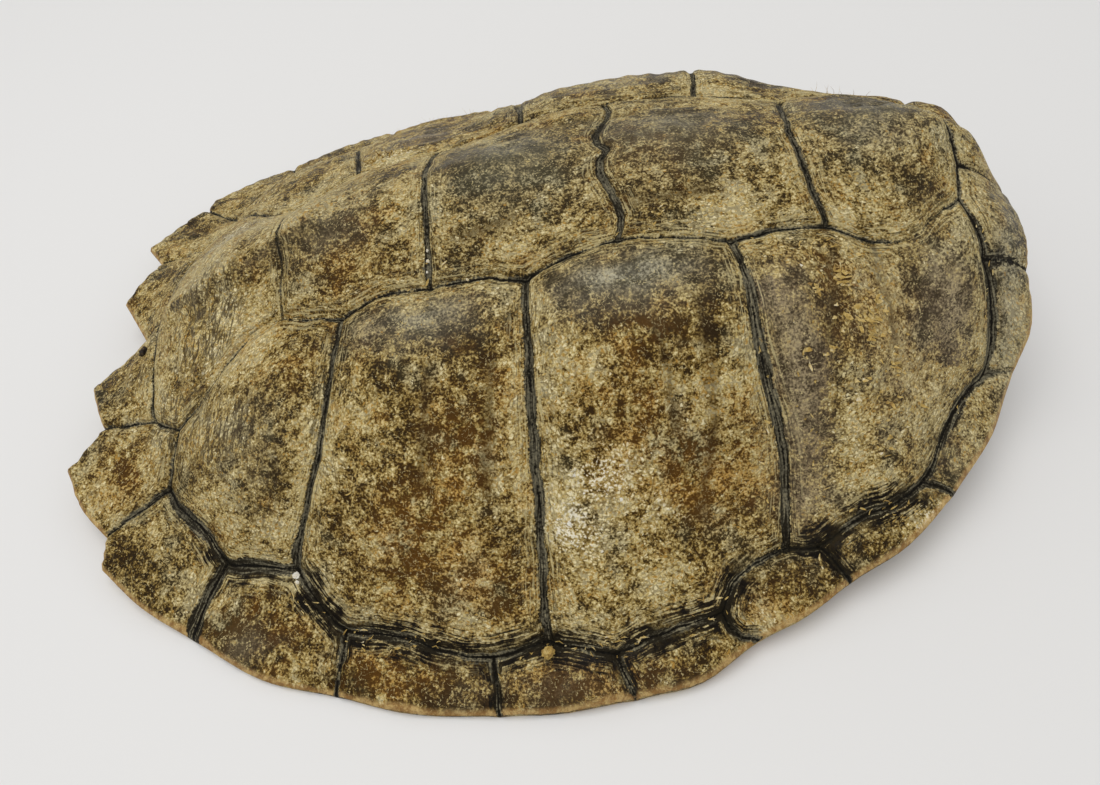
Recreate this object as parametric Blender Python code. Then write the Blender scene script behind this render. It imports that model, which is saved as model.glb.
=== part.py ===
"""Carapace of a snapping turtle: one dried shell of bone under horny scutes, lying dome up.

X runs forward to the neck, Y to the shell's left and Z up, and the rims of the two bridges
stand on Z = 0. The tables are in millimetres and give the right-hand half; the left-hand half
mirrors it with a little drift, as in a grown shell. The finished mesh is scaled to metres.
"""

import math

import bmesh
import bpy
import numpy as np
from mathutils import Vector
from mathutils.kdtree import KDTree

MM = 0.001

GROOVE_HALF_WIDTH = 1.6
GROOVE_DEPTH = 1.7
SCUTE_SWELL = 1.4
SWELL_REACH = 6.0
OUTLINE_STEP = 6.0
SCUTE_CELL = 13.0
INNER_CELL = 18.0
SPINE_CELL = 8.5
SCORE_STEP = 12.0
DRIFT = 1.3

WALL = 5.0
RIM_EDGE = 1.4
RIM_THICKNESS = 4.5
SOLE_WIDTH = 5.5
SOLE_BLEND = 9.0
STEEPEST_WALL_FACTOR = 1.8
DOME_SMOOTHING = 0.004

SPINE_REACH = 9.0
SPINE_HEIGHT = 8.0
SPINE_ENDS = (-118.0, 122.0)
SPINE_TAPER = 20.0
RIB_STATIONS = (98.0, 71.0, 44.0, 17.0, -10.0, -36.0, -61.0, -84.0)
RIB_SWEEP = (0.16, 0.08, 0.02, -0.04, -0.12, -0.22, -0.34, -0.50)
RIB_REACH = 9.0
RIB_HEIGHT = 1.8
RIB_HEAD_HEIGHT = 3.0
RIB_HEAD_LENGTH = 16.0
RIB_END = 104.0
RIB_TAPER = 15.0

SHARP_ANGLE = 40.0
HORN, BONE, INSIDE = 0, 1, 2

# Where three scutes meet, or two meet the rim or the midline: forward, outward, height.
CORNERS = {
    "nuchal.front": (152, 0, 53),
    "nuchal.m1.rim": (153.5, 9, 52),
    "m1.m2.rim": (152, 36, 46),
    "m2.m3.rim": (147, 58, 26),
    "m3.m4.rim": (120, 93, 16),
    "m4.m5.rim": (85, 115, 10),
    "m5.m6.rim": (57, 128, 6),
    "m6.m7.rim": (21, 140.5, 2.5),
    "m7.m8.rim": (-17, 142, 2),
    "m8.m9.rim": (-64, 133, 1.5),
    "m9.m10.rim": (-110, 113, 2),
    "m10.tip": (-143, 89, 5.5),
    "m10.m11.rim": (-143, 79, 8.5),
    "m11.tip": (-162, 54, 11),
    "m11.m12.rim": (-151.5, 40, 15),
    "m12.tip": (-161.5, 21, 14),
    "notch": (-147, 0, 13),
    "v1.nuchal": (131, 0, 78),
    "v1.v2": (83, 0, 79),
    "v2.v3": (28, 0, 78),
    "v3.v4": (-29, 0, 74),
    "v4.v5": (-79, 0, 60),
    "v5.m12": (-138, 0, 25),
    "v1.nuchal.m1": (133, 12, 70),
    "v1.c1.m1": (131, 22, 66),
    "v1.v2.c1": (89, 31, 69),
    "v2.c1.c2": (60, 36, 71),
    "v2.v3.c2": (28, 33, 73),
    "v3.c2.c3": (0, 38, 65),
    "v3.v4.c3": (-29, 33, 61),
    "v4.c3.c4": (-58, 36, 54),
    "v4.v5.c4": (-80, 27, 47),
    "v5.c4.m11": (-119, 51, 25),
    "v5.m11.m12": (-132, 42, 20),
    "c1.m1.m2": (136, 39, 57),
    "c1.m2.m3": (138, 60, 28),
    "c1.m3.m4": (112, 90, 19),
    "c1.m4.m5": (78, 107, 17),
    "c1.c2.m5": (68, 107, 17),
    "c2.m5.m6": (48, 123, 14),
    "c2.m6.m7": (17, 132, 13),
    "c2.c3.m7": (-2, 127, 14),
    "c3.m7.m8": (-18, 129, 10),
    "c3.m8.m9": (-61, 118, 10),
    "c3.c4.m9": (-76, 100, 17),
    "c4.m9.m10": (-100, 94, 12.5),
    "c4.m10.m11": (-124, 66, 14),
}

# Points that a seam passes on its way between two corners. On the rim they carry a height.
BENDS = {
    ("nuchal.m1.rim", "m1.m2.rim"): [(155.5, 21, 49)],
    ("m1.m2.rim", "m2.m3.rim"): [(153.5, 47, 35)],
    ("m2.m3.rim", "m3.m4.rim"): [(136, 76, 20)],
    ("m3.m4.rim", "m4.m5.rim"): [(104, 106, 13)],
    ("m4.m5.rim", "m5.m6.rim"): [(72, 122.5, 8)],
    ("m5.m6.rim", "m6.m7.rim"): [(40, 137.5, 3.5)],
    ("m6.m7.rim", "m7.m8.rim"): [(2, 142.5, 2)],
    ("m7.m8.rim", "m8.m9.rim"): [(-42, 139.5, 1.5)],
    ("m8.m9.rim", "m9.m10.rim"): [(-87, 126.5, 1.5)],
    ("m9.m10.rim", "m10.tip"): [(-128, 102, 3.5)],
    ("m10.m11.rim", "m11.tip"): [(-154, 68, 9)],
    ("v2.v3.c2", "v2.v3"): [(30, 26), (28, 18), (25, 9), (25.5, 4)],
    ("v1.v2.c1", "v1.v2"): [(86, 20)],
    ("v1.v2.c1", "v1.c1.m1"): [(99, 36), (112, 36), (122, 29)],
    ("v2.v3.c2", "v2.c1.c2"): [(44, 34)],
    ("v2.c1.c2", "v1.v2.c1"): [(76, 33)],
    ("v2.v3.c2", "v3.c2.c3"): [(14, 35)],
    ("v3.c2.c3", "v3.v4.c3"): [(-14, 34)],
    ("v3.v4.c3", "v4.c3.c4"): [(-44, 33)],
    ("v4.v5.c4", "v5.c4.m11"): [(-88, 29), (-99, 36), (-108, 45)],
    ("v5.m11.m12", "v5.m12"): [(-134, 25)],
    ("v2.c1.c2", "c1.c2.m5"): [(62, 50), (63.5, 66), (69, 84)],
    ("v4.c3.c4", "c3.c4.m9"): [(-61, 52), (-66, 74)],
    ("c1.m2.m3", "c1.m1.m2"): [(139, 50)],
    ("c1.m3.m4", "c1.m2.m3"): [(121, 76), (130, 66)],
    ("c1.m4.m5", "c1.m3.m4"): [(88, 101), (100, 97)],
    ("c2.m5.m6", "c1.c2.m5"): [(51, 116), (59, 110)],
    ("c2.m6.m7", "c2.m5.m6"): [(30, 127)],
    ("c3.m8.m9", "c3.m7.m8"): [(-45, 121), (-32, 126)],
    ("c3.m8.m9", "c3.c4.m9"): [(-69, 109)],
    ("c4.m9.m10", "c4.m10.m11"): [(-107, 84), (-115, 77)],
    ("c2.m5.m6", "m5.m6.rim"): [(49, 126), (52, 128)],
    ("c4.m10.m11", "m10.m11.rim"): [(-132, 71)],
    ("c4.m9.m10", "m9.m10.rim"): [(-106, 103)],
}

# Each scute's corners, in order round it. A middle scute lists its right half, front to back.
MIDDLE_SCUTES = {
    "nuchal": ("nuchal.front", "nuchal.m1.rim", "v1.nuchal.m1", "v1.nuchal"),
    "v1": ("v1.nuchal", "v1.nuchal.m1", "v1.c1.m1", "v1.v2.c1", "v1.v2"),
    "v2": ("v1.v2", "v1.v2.c1", "v2.c1.c2", "v2.v3.c2", "v2.v3"),
    "v3": ("v2.v3", "v2.v3.c2", "v3.c2.c3", "v3.v4.c3", "v3.v4"),
    "v4": ("v3.v4", "v3.v4.c3", "v4.c3.c4", "v4.v5.c4", "v4.v5"),
    "v5": ("v4.v5", "v4.v5.c4", "v5.c4.m11", "v5.m11.m12", "v5.m12"),
}
SIDE_SCUTES = {
    "c1": (
        "v1.c1.m1", "c1.m1.m2", "c1.m2.m3", "c1.m3.m4",
        "c1.m4.m5", "c1.c2.m5", "v2.c1.c2", "v1.v2.c1",
    ),
    "c2": ("v2.c1.c2", "c1.c2.m5", "c2.m5.m6", "c2.m6.m7", "c2.c3.m7", "v3.c2.c3", "v2.v3.c2"),
    "c3": ("v3.c2.c3", "c2.c3.m7", "c3.m7.m8", "c3.m8.m9", "c3.c4.m9", "v4.c3.c4", "v3.v4.c3"),
    "c4": ("v4.c3.c4", "c3.c4.m9", "c4.m9.m10", "c4.m10.m11", "v5.c4.m11", "v4.v5.c4"),
    "m1": ("nuchal.m1.rim", "m1.m2.rim", "c1.m1.m2", "v1.c1.m1", "v1.nuchal.m1"),
    "m2": ("m1.m2.rim", "m2.m3.rim", "c1.m2.m3", "c1.m1.m2"),
    "m3": ("m2.m3.rim", "m3.m4.rim", "c1.m3.m4", "c1.m2.m3"),
    "m4": ("m3.m4.rim", "m4.m5.rim", "c1.m4.m5", "c1.m3.m4"),
    "m5": ("m4.m5.rim", "m5.m6.rim", "c2.m5.m6", "c1.c2.m5", "c1.m4.m5"),
    "m6": ("m5.m6.rim", "m6.m7.rim", "c2.m6.m7", "c2.m5.m6"),
    "m7": ("m6.m7.rim", "m7.m8.rim", "c3.m7.m8", "c2.c3.m7", "c2.m6.m7"),
    "m8": ("m7.m8.rim", "m8.m9.rim", "c3.m8.m9", "c3.m7.m8"),
    "m9": ("m8.m9.rim", "m9.m10.rim", "c4.m9.m10", "c3.c4.m9", "c3.m8.m9"),
    "m10": ("m9.m10.rim", "m10.tip", "m10.m11.rim", "c4.m10.m11", "c4.m9.m10"),
    "m11": ("m10.m11.rim", "m11.tip", "m11.m12.rim", "v5.m11.m12", "v5.c4.m11", "c4.m10.m11"),
    "m12": ("m11.m12.rim", "m12.tip", "notch", "v5.m12", "v5.m11.m12"),
}

# Heights between the corners: along the crest, and on the faces of the costal scutes.
CREST = ((-103, 49), (-55, 67), (0, 77), (55, 80), (106, 80), (142, 69))
COSTAL_FACES = (
    (-100, 60, 32.5), (-70, 62, 41.5), (-35, 62, 49.5), (0, 62, 56.5), (35, 62, 63), (65, 60, 64),
    (95, 55, 57.5), (118, 45, 57), (-105, 78, 22), (-75, 82, 29.5), (-35, 88, 35), (0, 88, 38),
    (35, 86, 43), (68, 82, 38.5), (98, 70, 44), (-60, 105, 18.5), (-20, 112, 20), (20, 112, 22),
    (50, 105, 23),
)

# Swellings of the growth centres: forward, outward, radius, height.
BOSSES = (
    (-100, 0, 16, 3.0), (-70, 0, 15, 3.5), (-18, 0, 17, 1.6), (38, 0, 18, 1.4), (92, 0, 18, 0.8),
    (-84, 46, 15, 1.8), (-44, 50, 17, 2.2), (12, 50, 18, 2.4), (70, 50, 18, 1.6), (143, 28, 9, 3.0),
)

HORN_COLOR = (0.115, 0.078, 0.040, 1.0)
HORN_ROUGHNESS = 0.55
BONE_COLOR = (0.46, 0.34, 0.19, 1.0)
BONE_ROUGHNESS = 0.7


def drifted(x, y):
    """A point of the left-hand half, moved a little so that the halves don't match exactly."""
    amount = DRIFT * min(1.0, abs(y) / 30.0)
    return x + amount * math.sin(x / 31.0 + 0.8), y + amount * math.sin(x / 23.0 + abs(y) / 40.0)


def placed(x, y, side):
    return (x, -y) if side < 0 else drifted(x, y)


def key_of(name, side):
    return (name, 0 if CORNERS[name][1] == 0 else side)


def smooth_path(points, step):
    """Points every step or so along a Catmull-Rom curve through the given ones, ends included."""
    points = [np.array(p, float) for p in points]
    ends = [2 * points[0] - points[1]] + points + [2 * points[-1] - points[-2]]
    path = [points[0]]
    for a, b, c, d in zip(ends, ends[1:], ends[2:], ends[3:]):
        pieces = max(1, round(float(np.linalg.norm(c - b)) / step))
        for i in range(1, pieces + 1):
            t = i / pieces
            bend = (2 * a - 5 * b + 4 * c - d) * t**2 + (3 * b - a - 3 * c + d) * t**3
            path.append(b + ((c - a) * t + bend) / 2)
    return path


def thin_plate(points, smoothing):
    """The height of a springy sheet bent over the points, as a function of two arrays."""
    points = np.array(points, float)
    flat = points[:, :2] / 100.0

    def spring(squared):
        return np.where(squared > 1e-9, squared * np.log(np.maximum(squared, 1e-9)), 0.0)

    count = len(flat)
    plane = np.column_stack([np.ones(count), flat])
    matrix = np.zeros((count + 3, count + 3))
    matrix[:count, :count] = spring(((flat[:, None] - flat[None]) ** 2).sum(-1)) + smoothing * np.eye(count)
    matrix[:count, count:] = plane
    matrix[count:, :count] = plane.T
    weights = np.linalg.solve(matrix, np.concatenate([points[:, 2], np.zeros(3)]))

    def height(x, y):
        where = np.column_stack([x, y]) / 100.0
        near = spring(((where[:, None] - flat[None]) ** 2).sum(-1))
        return near @ weights[:count] + weights[count] + where @ weights[count + 1:]

    return height


def dome_points():
    """Every height that the tables give, on both halves. The rim's are raised by its rounding."""
    half = []
    for name, (x, y, z) in CORNERS.items():
        half.append((x, y, z + GROOVE_DEPTH if name.endswith(("rim", "tip", "notch", "front")) else z))
    for bends in BENDS.values():
        half += [(b[0], b[1], b[2] + GROOVE_DEPTH) for b in bends if len(b) == 3]
    half += [(x, 0, z) for x, z in CREST] + list(COSTAL_FACES)
    return half + [(x, -y, z) for x, y, z in half if y > 0]


dome = thin_plate(dome_points(), DOME_SMOOTHING)


def swellings(x, y):
    """What the growth centres add to the dome."""
    total = np.zeros_like(x)
    for bx, by, radius, height in BOSSES:
        for side in {-1, 1 if by else -1}:
            squared = ((x - bx) ** 2 + (y - side * by) ** 2) / radius**2
            total += height * np.exp(-squared)
    return total


class Network:
    """The seams between the scutes, drawn flat, each shared by the scutes on its two sides."""

    def __init__(self, bm, step):
        self.bm = bm
        self.step = step
        self.corners = {}
        self.seams = {}

    def corner(self, name, side):
        key = key_of(name, side)
        if key not in self.corners:
            x, y, _ = CORNERS[name]
            self.corners[key] = self.bm.verts.new((*placed(x, y, side), 0.0))
        return self.corners[key]

    def seam(self, start, end, side):
        """The vertices from one corner to the next, without the last."""
        key = (key_of(start, side), key_of(end, side))
        if key[::-1] in self.seams:
            return self.seams[key[::-1]][:0:-1]
        if key not in self.seams:
            bends = BENDS.get((start, end)) or BENDS.get((end, start), [])[::-1]
            route = [CORNERS[start][:2], *(b[:2] for b in bends), CORNERS[end][:2]]
            path = smooth_path([placed(x, y, side) for x, y in route], self.step)
            middle = [self.bm.verts.new((p[0], p[1], 0.0)) for p in path[1:-1]]
            self.seams[key] = [self.corner(start, side), *middle, self.corner(end, side)]
        return self.seams[key][:-1]

    def scute(self, stops):
        """One face round the given (corner, side) stops."""
        loop = []
        for (start, side_a), (end, side_b) in zip(stops, stops[1:] + stops[:1]):
            loop += self.seam(start, end, side_a if CORNERS[start][1] else side_b)
        return self.bm.faces.new(loop)


def flat_scutes(step):
    """A mesh of the whole scute pattern, one many-sided face for each scute, all facing up."""
    bm = bmesh.new()
    network = Network(bm, step)
    for stops in MIDDLE_SCUTES.values():
        right = [(name, -1) for name in stops]
        left = [(name, 1) for name in reversed(stops) if CORNERS[name][1]]
        network.scute(right + left)
    for side in (-1, 1):
        for stops in SIDE_SCUTES.values():
            network.scute([(name, side) for name in stops])
    for face in bm.faces:
        face.normal_update()
        if face.normal.z < 0:
            face.normal_flip()
    return bm


def region(bm, material):
    """The faces of one material, their vertices, and the edges that may be split or turned."""
    faces = [f for f in bm.faces if f.material_index == material]
    verts = {v for f in faces for v in f.verts}
    return faces, verts, [e for e in {e for f in faces for e in f.edges} if not e.seam]


def refine(bm, material, cell, rounds=10):
    """Splits the edges of one material's faces that are longer than cell says for their middle,
    and evens the triangles out. Edges marked as seams stay where they are."""
    for _ in range(rounds):
        bmesh.ops.triangulate(bm, faces=region(bm, material)[0])
        long = [
            edge
            for edge in region(bm, material)[2]
            if edge.calc_length() > cell((edge.verts[0].co + edge.verts[1].co) / 2)
        ]
        if not long:
            break
        bmesh.ops.subdivide_edges(bm, edges=long, cuts=1)
        bmesh.ops.triangulate(bm, faces=region(bm, material)[0])
        faces, verts, edges = region(bm, material)
        bmesh.ops.beautify_fill(bm, faces=faces, edges=edges)
        free = [v for v in verts if not any(e.seam for e in v.link_edges)]
        bmesh.ops.smooth_vert(bm, verts=free, factor=0.5, use_axis_x=True, use_axis_y=True)


def plan_of(verts):
    coords = np.array([v.co for v in verts])
    return coords[:, 0], coords[:, 1]


def add_outer_face(bm):
    """Cuts a groove along every seam of the flat pattern and bends the scutes over the dome."""
    sunk = bm.verts.layers.float.new("sunk")
    for vert in bm.verts:
        vert[sunk] = GROOVE_DEPTH
    scutes = bm.faces[:]
    bmesh.ops.inset_individual(bm, faces=scutes, thickness=GROOVE_HALF_WIDTH, use_even_offset=True)
    for vert in {v for face in scutes for v in face.verts}:
        vert[sunk] = 0.0
    for edge in bm.edges:
        edge.seam = True
    refine(bm, HORN, lambda where: SCUTE_CELL)
    seam_tree = KDTree(len(bm.verts))
    for vert in bm.verts:
        if vert[sunk] > 0.0:
            seam_tree.insert(vert.co, vert.index)
    seam_tree.balance()
    verts = bm.verts[:]
    clear = np.array([seam_tree.find(v.co)[2] for v in verts])
    x, y = plan_of(verts)
    height = dome(x, y) + swellings(x, y) + SCUTE_SWELL * (1 - np.exp(-clear / SWELL_REACH))
    for vert, z in zip(verts, height):
        vert.co.z = z - vert[sunk]


def extrude_inward(bm, edges, inset, heights):
    """A new ring of faces from a loop, its far side drawn in towards the middle of the shell."""
    grown = bmesh.ops.extrude_edge_only(bm, edges=edges)["geom"]
    for vert in (g for g in grown if isinstance(g, bmesh.types.BMVert)):
        vert.co.z = heights(vert.co.z)
        vert.co.xy *= 1 - inset / vert.co.xy.length
    for face in (g for g in grown if isinstance(g, bmesh.types.BMFace)):
        face.material_index = BONE
    ring = [g for g in grown if isinstance(g, bmesh.types.BMEdge) and g.is_boundary]
    for edge in (g for g in grown if isinstance(g, bmesh.types.BMEdge)):
        edge.seam = True
    return ring


def score(bm, faces, point, normal):
    """Cuts the faces along a line, and keeps that line in place from then on."""
    geom = faces + list({e for f in faces for e in f.edges}) + list({v for f in faces for v in f.verts})
    cut = bmesh.ops.bisect_plane(bm, geom=geom, dist=0.5, plane_co=point, plane_no=normal)["geom_cut"]
    for edge in (g for g in cut if isinstance(g, bmesh.types.BMEdge)):
        pieces = round(edge.calc_length() / SCORE_STEP)
        edge.seam = True
        if pieces > 1:
            bmesh.ops.subdivide_edges(bm, edges=[edge], cuts=pieces - 1)


def wall_height(x, y):
    """How much higher the dome's outside is than its inside, for the wall to be WALL thick."""
    slope = np.hypot(dome(x + 1, y) - dome(x - 1, y), dome(x, y + 1) - dome(x, y - 1)) / 2
    return WALL * np.minimum(np.sqrt(1 + slope**2), STEEPEST_WALL_FACTOR)


def add_inner_face(bm):
    """Closes the shell: the rim's edge, a flat sole under it, and the bony inside of the dome."""
    rim = [e for e in bm.edges if e.is_boundary]
    ring = extrude_inward(bm, rim, RIM_EDGE, lambda z: max(0.0, z - RIM_THICKNESS))
    ring = extrude_inward(bm, ring, SOLE_WIDTH, lambda z: z)
    sole = list({v for e in ring for v in e.verts})
    sole_z = np.array([v.co.z for v in sole])
    nearest_sole = KDTree(len(sole))
    for i, vert in enumerate(sole):
        vert.co.z = 0.0
        nearest_sole.insert(vert.co, i)
    nearest_sole.balance()
    sole_depth = dome(*plan_of(sole)) - sole_z

    bmesh.ops.edgeloop_fill(bm, edges=ring, mat_nr=INSIDE)
    for offset in (0.0, SPINE_REACH, -SPINE_REACH):
        score(bm, region(bm, INSIDE)[0], (0.0, offset, 0.0), (0.0, 1.0, 0.0))
    for station, sweep in zip(RIB_STATIONS, RIB_SWEEP):
        for side in (-1, 1):
            half = [f for f in region(bm, INSIDE)[0] if side * f.calc_center_median().y > 0]
            score(bm, half, (station, 0.0, 0.0), (1.0, -sweep * side, 0.0))
    refine(bm, INSIDE, lambda where: SPINE_CELL if abs(where.y) < 2 * SPINE_REACH else INNER_CELL)

    verts = list(region(bm, INSIDE)[1])
    x, y = plan_of(verts)
    found = [nearest_sole.find((a, b, 0.0)) for a, b in zip(x, y)]
    index = [i for _, i, _ in found]
    share = np.clip(np.array([distance for _, _, distance in found]) / SOLE_BLEND, 0.0, 1.0)
    share = share * share * (3 - 2 * share)
    wall = wall_height(x, y) * share + sole_depth[index] * (1 - share)
    inside = dome(x, y) - wall - np.hypot(spine(x, y), ribs(x, y)) * share
    for vert, z in zip(verts, inside):
        vert.co.z = max(z, 0.0)
    for face in bm.faces:
        face.material_index = min(face.material_index, BONE)


def ridge(across):
    """The height of a round-topped ridge of height 1, which ends where across is 1."""
    return 0.5 + 0.5 * np.cos(math.pi * np.clip(across, 0.0, 1.0))


def spine(x, y):
    """How far the row of vertebrae stands down from the inner face."""
    start, end = SPINE_ENDS
    along = ridge(1.0 - np.minimum(x - start, end - x) / SPINE_TAPER)
    return SPINE_HEIGHT * along * ridge(np.abs(y) / SPINE_REACH)


def ribs(x, y):
    """How far the ribs stand down from the inner face, most at their heads beside the spine."""
    out = np.abs(y)
    depth = np.zeros_like(x)
    for station, sweep in zip(RIB_STATIONS, RIB_SWEEP):
        across = np.abs(x - station - sweep * out) / RIB_REACH
        head = RIB_HEAD_HEIGHT * np.exp(-((out - SPINE_REACH) / RIB_HEAD_LENGTH) ** 2)
        fade = np.clip((RIB_END - out) / RIB_TAPER, 0.0, 1.0)
        depth = np.maximum(depth, (RIB_HEIGHT + head) * fade * ridge(across))
    return depth


def finish(name, color, roughness):
    material = bpy.data.materials.new(name)
    material.use_nodes = True
    shader = material.node_tree.nodes["Principled BSDF"]
    shader.inputs["Base Color"].default_value = color
    shader.inputs["Roughness"].default_value = roughness
    return material


def carapace():
    bm = flat_scutes(OUTLINE_STEP)
    add_outer_face(bm)
    add_inner_face(bm)
    bmesh.ops.triangulate(bm, faces=bm.faces[:])
    bmesh.ops.recalc_face_normals(bm, faces=bm.faces[:])
    xs = [v.co.x for v in bm.verts]
    ys = [v.co.y for v in bm.verts]
    middle = Vector(((max(xs) + min(xs)) / 2, (max(ys) + min(ys)) / 2, 0.0))
    bmesh.ops.translate(bm, verts=bm.verts[:], vec=-middle)
    bmesh.ops.scale(bm, verts=bm.verts[:], vec=(MM, MM, MM))
    mesh = bpy.data.meshes.new("carapace")
    bm.to_mesh(mesh)
    bm.free()
    mesh.materials.append(finish("horn", HORN_COLOR, HORN_ROUGHNESS))
    mesh.materials.append(finish("bone", BONE_COLOR, BONE_ROUGHNESS))
    mesh.shade_smooth()
    mesh.set_sharp_from_angle(angle=math.radians(SHARP_ANGLE))
    obj = bpy.data.objects.new("carapace", mesh)
    bpy.context.scene.collection.objects.link(obj)
    return obj


def main():
    for obj in list(bpy.data.objects):
        bpy.data.objects.remove(obj, do_unlink=True)
    carapace()


main()
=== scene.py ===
"""Looks of the dried snapping turtle shell.

The shell is drawn once more at a fine grain, scute by scute, from the same tables as its solid.
X runs forward to the neck, Y to the shell's left and Z up. The tables are in millimetres and give
the right-hand half; the finished meshes are in metres.
"""

import math
import random

import bmesh
import bpy
import numpy as np
from mathutils import Matrix, Vector, noise
from mathutils.bvhtree import BVHTree
from mathutils.kdtree import KDTree


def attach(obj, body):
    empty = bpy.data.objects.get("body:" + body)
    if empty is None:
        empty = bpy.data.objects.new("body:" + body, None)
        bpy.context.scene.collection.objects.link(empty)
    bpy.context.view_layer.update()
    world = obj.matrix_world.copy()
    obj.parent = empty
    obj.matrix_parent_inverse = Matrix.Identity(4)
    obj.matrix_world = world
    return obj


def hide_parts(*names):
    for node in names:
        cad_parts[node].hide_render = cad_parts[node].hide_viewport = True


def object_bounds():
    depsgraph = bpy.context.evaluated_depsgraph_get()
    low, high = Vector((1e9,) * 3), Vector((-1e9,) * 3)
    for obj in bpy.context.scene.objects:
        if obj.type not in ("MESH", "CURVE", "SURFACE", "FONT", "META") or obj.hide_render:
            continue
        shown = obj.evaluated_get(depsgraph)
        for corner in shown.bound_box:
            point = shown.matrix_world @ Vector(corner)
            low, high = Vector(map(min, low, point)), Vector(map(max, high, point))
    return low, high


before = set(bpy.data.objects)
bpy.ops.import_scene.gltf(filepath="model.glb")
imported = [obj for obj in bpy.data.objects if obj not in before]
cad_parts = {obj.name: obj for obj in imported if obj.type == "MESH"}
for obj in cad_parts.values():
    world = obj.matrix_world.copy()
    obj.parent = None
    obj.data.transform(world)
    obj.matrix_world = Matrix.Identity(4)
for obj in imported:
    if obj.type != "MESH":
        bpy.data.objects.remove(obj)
SOLID_LOW, SOLID_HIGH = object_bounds()

MM = 0.001

# The shell's shape, as its solid has it.
RIM_ROUNDING = 1.7
SCUTE_SWELL = 0.9
SWELL_REACH = 7.0
DRIFT = 1.3
WALL = 5.0
RIM_THICKNESS = 4.5
SOLE_BLEND = 9.0
STEEPEST_WALL_FACTOR = 1.8
DOME_SMOOTHING = 0.004
SHEET_UNIT = 100.0
SPINE_REACH = 9.0
SPINE_HEIGHT = 8.0
SPINE_ENDS = (-118.0, 122.0)
SPINE_TAPER = 20.0
RIB_STATIONS = (98.0, 71.0, 44.0, 17.0, -10.0, -36.0, -61.0, -84.0)
RIB_SWEEP = (0.16, 0.08, 0.02, -0.04, -0.12, -0.22, -0.34, -0.50)
RIB_REACH = 9.0
RIB_HEIGHT = 1.8
RIB_HEAD_HEIGHT = 3.0
RIB_HEAD_LENGTH = 16.0
RIB_END = 104.0
RIB_TAPER = 15.0

# Where three scutes meet, or two meet the rim or the midline: forward, outward, height.
CORNERS = {
    "nuchal.front": (152, 0, 53),
    "nuchal.m1.rim": (153.5, 9, 52),
    "m1.m2.rim": (152, 36, 46),
    "m2.m3.rim": (147, 58, 26),
    "m3.m4.rim": (120, 93, 16),
    "m4.m5.rim": (85, 115, 10),
    "m5.m6.rim": (57, 128, 6),
    "m6.m7.rim": (21, 140.5, 2.5),
    "m7.m8.rim": (-17, 142, 2),
    "m8.m9.rim": (-64, 133, 1.5),
    "m9.m10.rim": (-110, 113, 2),
    "m10.tip": (-143, 89, 5.5),
    "m10.m11.rim": (-143, 79, 8.5),
    "m11.tip": (-162, 54, 11),
    "m11.m12.rim": (-151.5, 40, 15),
    "m12.tip": (-161.5, 21, 14),
    "notch": (-147, 0, 13),
    "v1.nuchal": (131, 0, 78),
    "v1.v2": (83, 0, 79),
    "v2.v3": (28, 0, 78),
    "v3.v4": (-29, 0, 74),
    "v4.v5": (-79, 0, 60),
    "v5.m12": (-138, 0, 25),
    "v1.nuchal.m1": (133, 12, 70),
    "v1.c1.m1": (131, 22, 66),
    "v1.v2.c1": (89, 31, 69),
    "v2.c1.c2": (60, 36, 71),
    "v2.v3.c2": (28, 33, 73),
    "v3.c2.c3": (0, 38, 65),
    "v3.v4.c3": (-29, 33, 61),
    "v4.c3.c4": (-58, 36, 54),
    "v4.v5.c4": (-80, 27, 47),
    "v5.c4.m11": (-119, 51, 25),
    "v5.m11.m12": (-132, 42, 20),
    "c1.m1.m2": (136, 39, 57),
    "c1.m2.m3": (138, 60, 28),
    "c1.m3.m4": (112, 90, 19),
    "c1.m4.m5": (78, 107, 17),
    "c1.c2.m5": (68, 107, 17),
    "c2.m5.m6": (48, 123, 14),
    "c2.m6.m7": (17, 132, 13),
    "c2.c3.m7": (-2, 127, 14),
    "c3.m7.m8": (-18, 129, 10),
    "c3.m8.m9": (-61, 118, 10),
    "c3.c4.m9": (-76, 100, 17),
    "c4.m9.m10": (-100, 94, 12.5),
    "c4.m10.m11": (-124, 66, 14),
}

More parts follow.
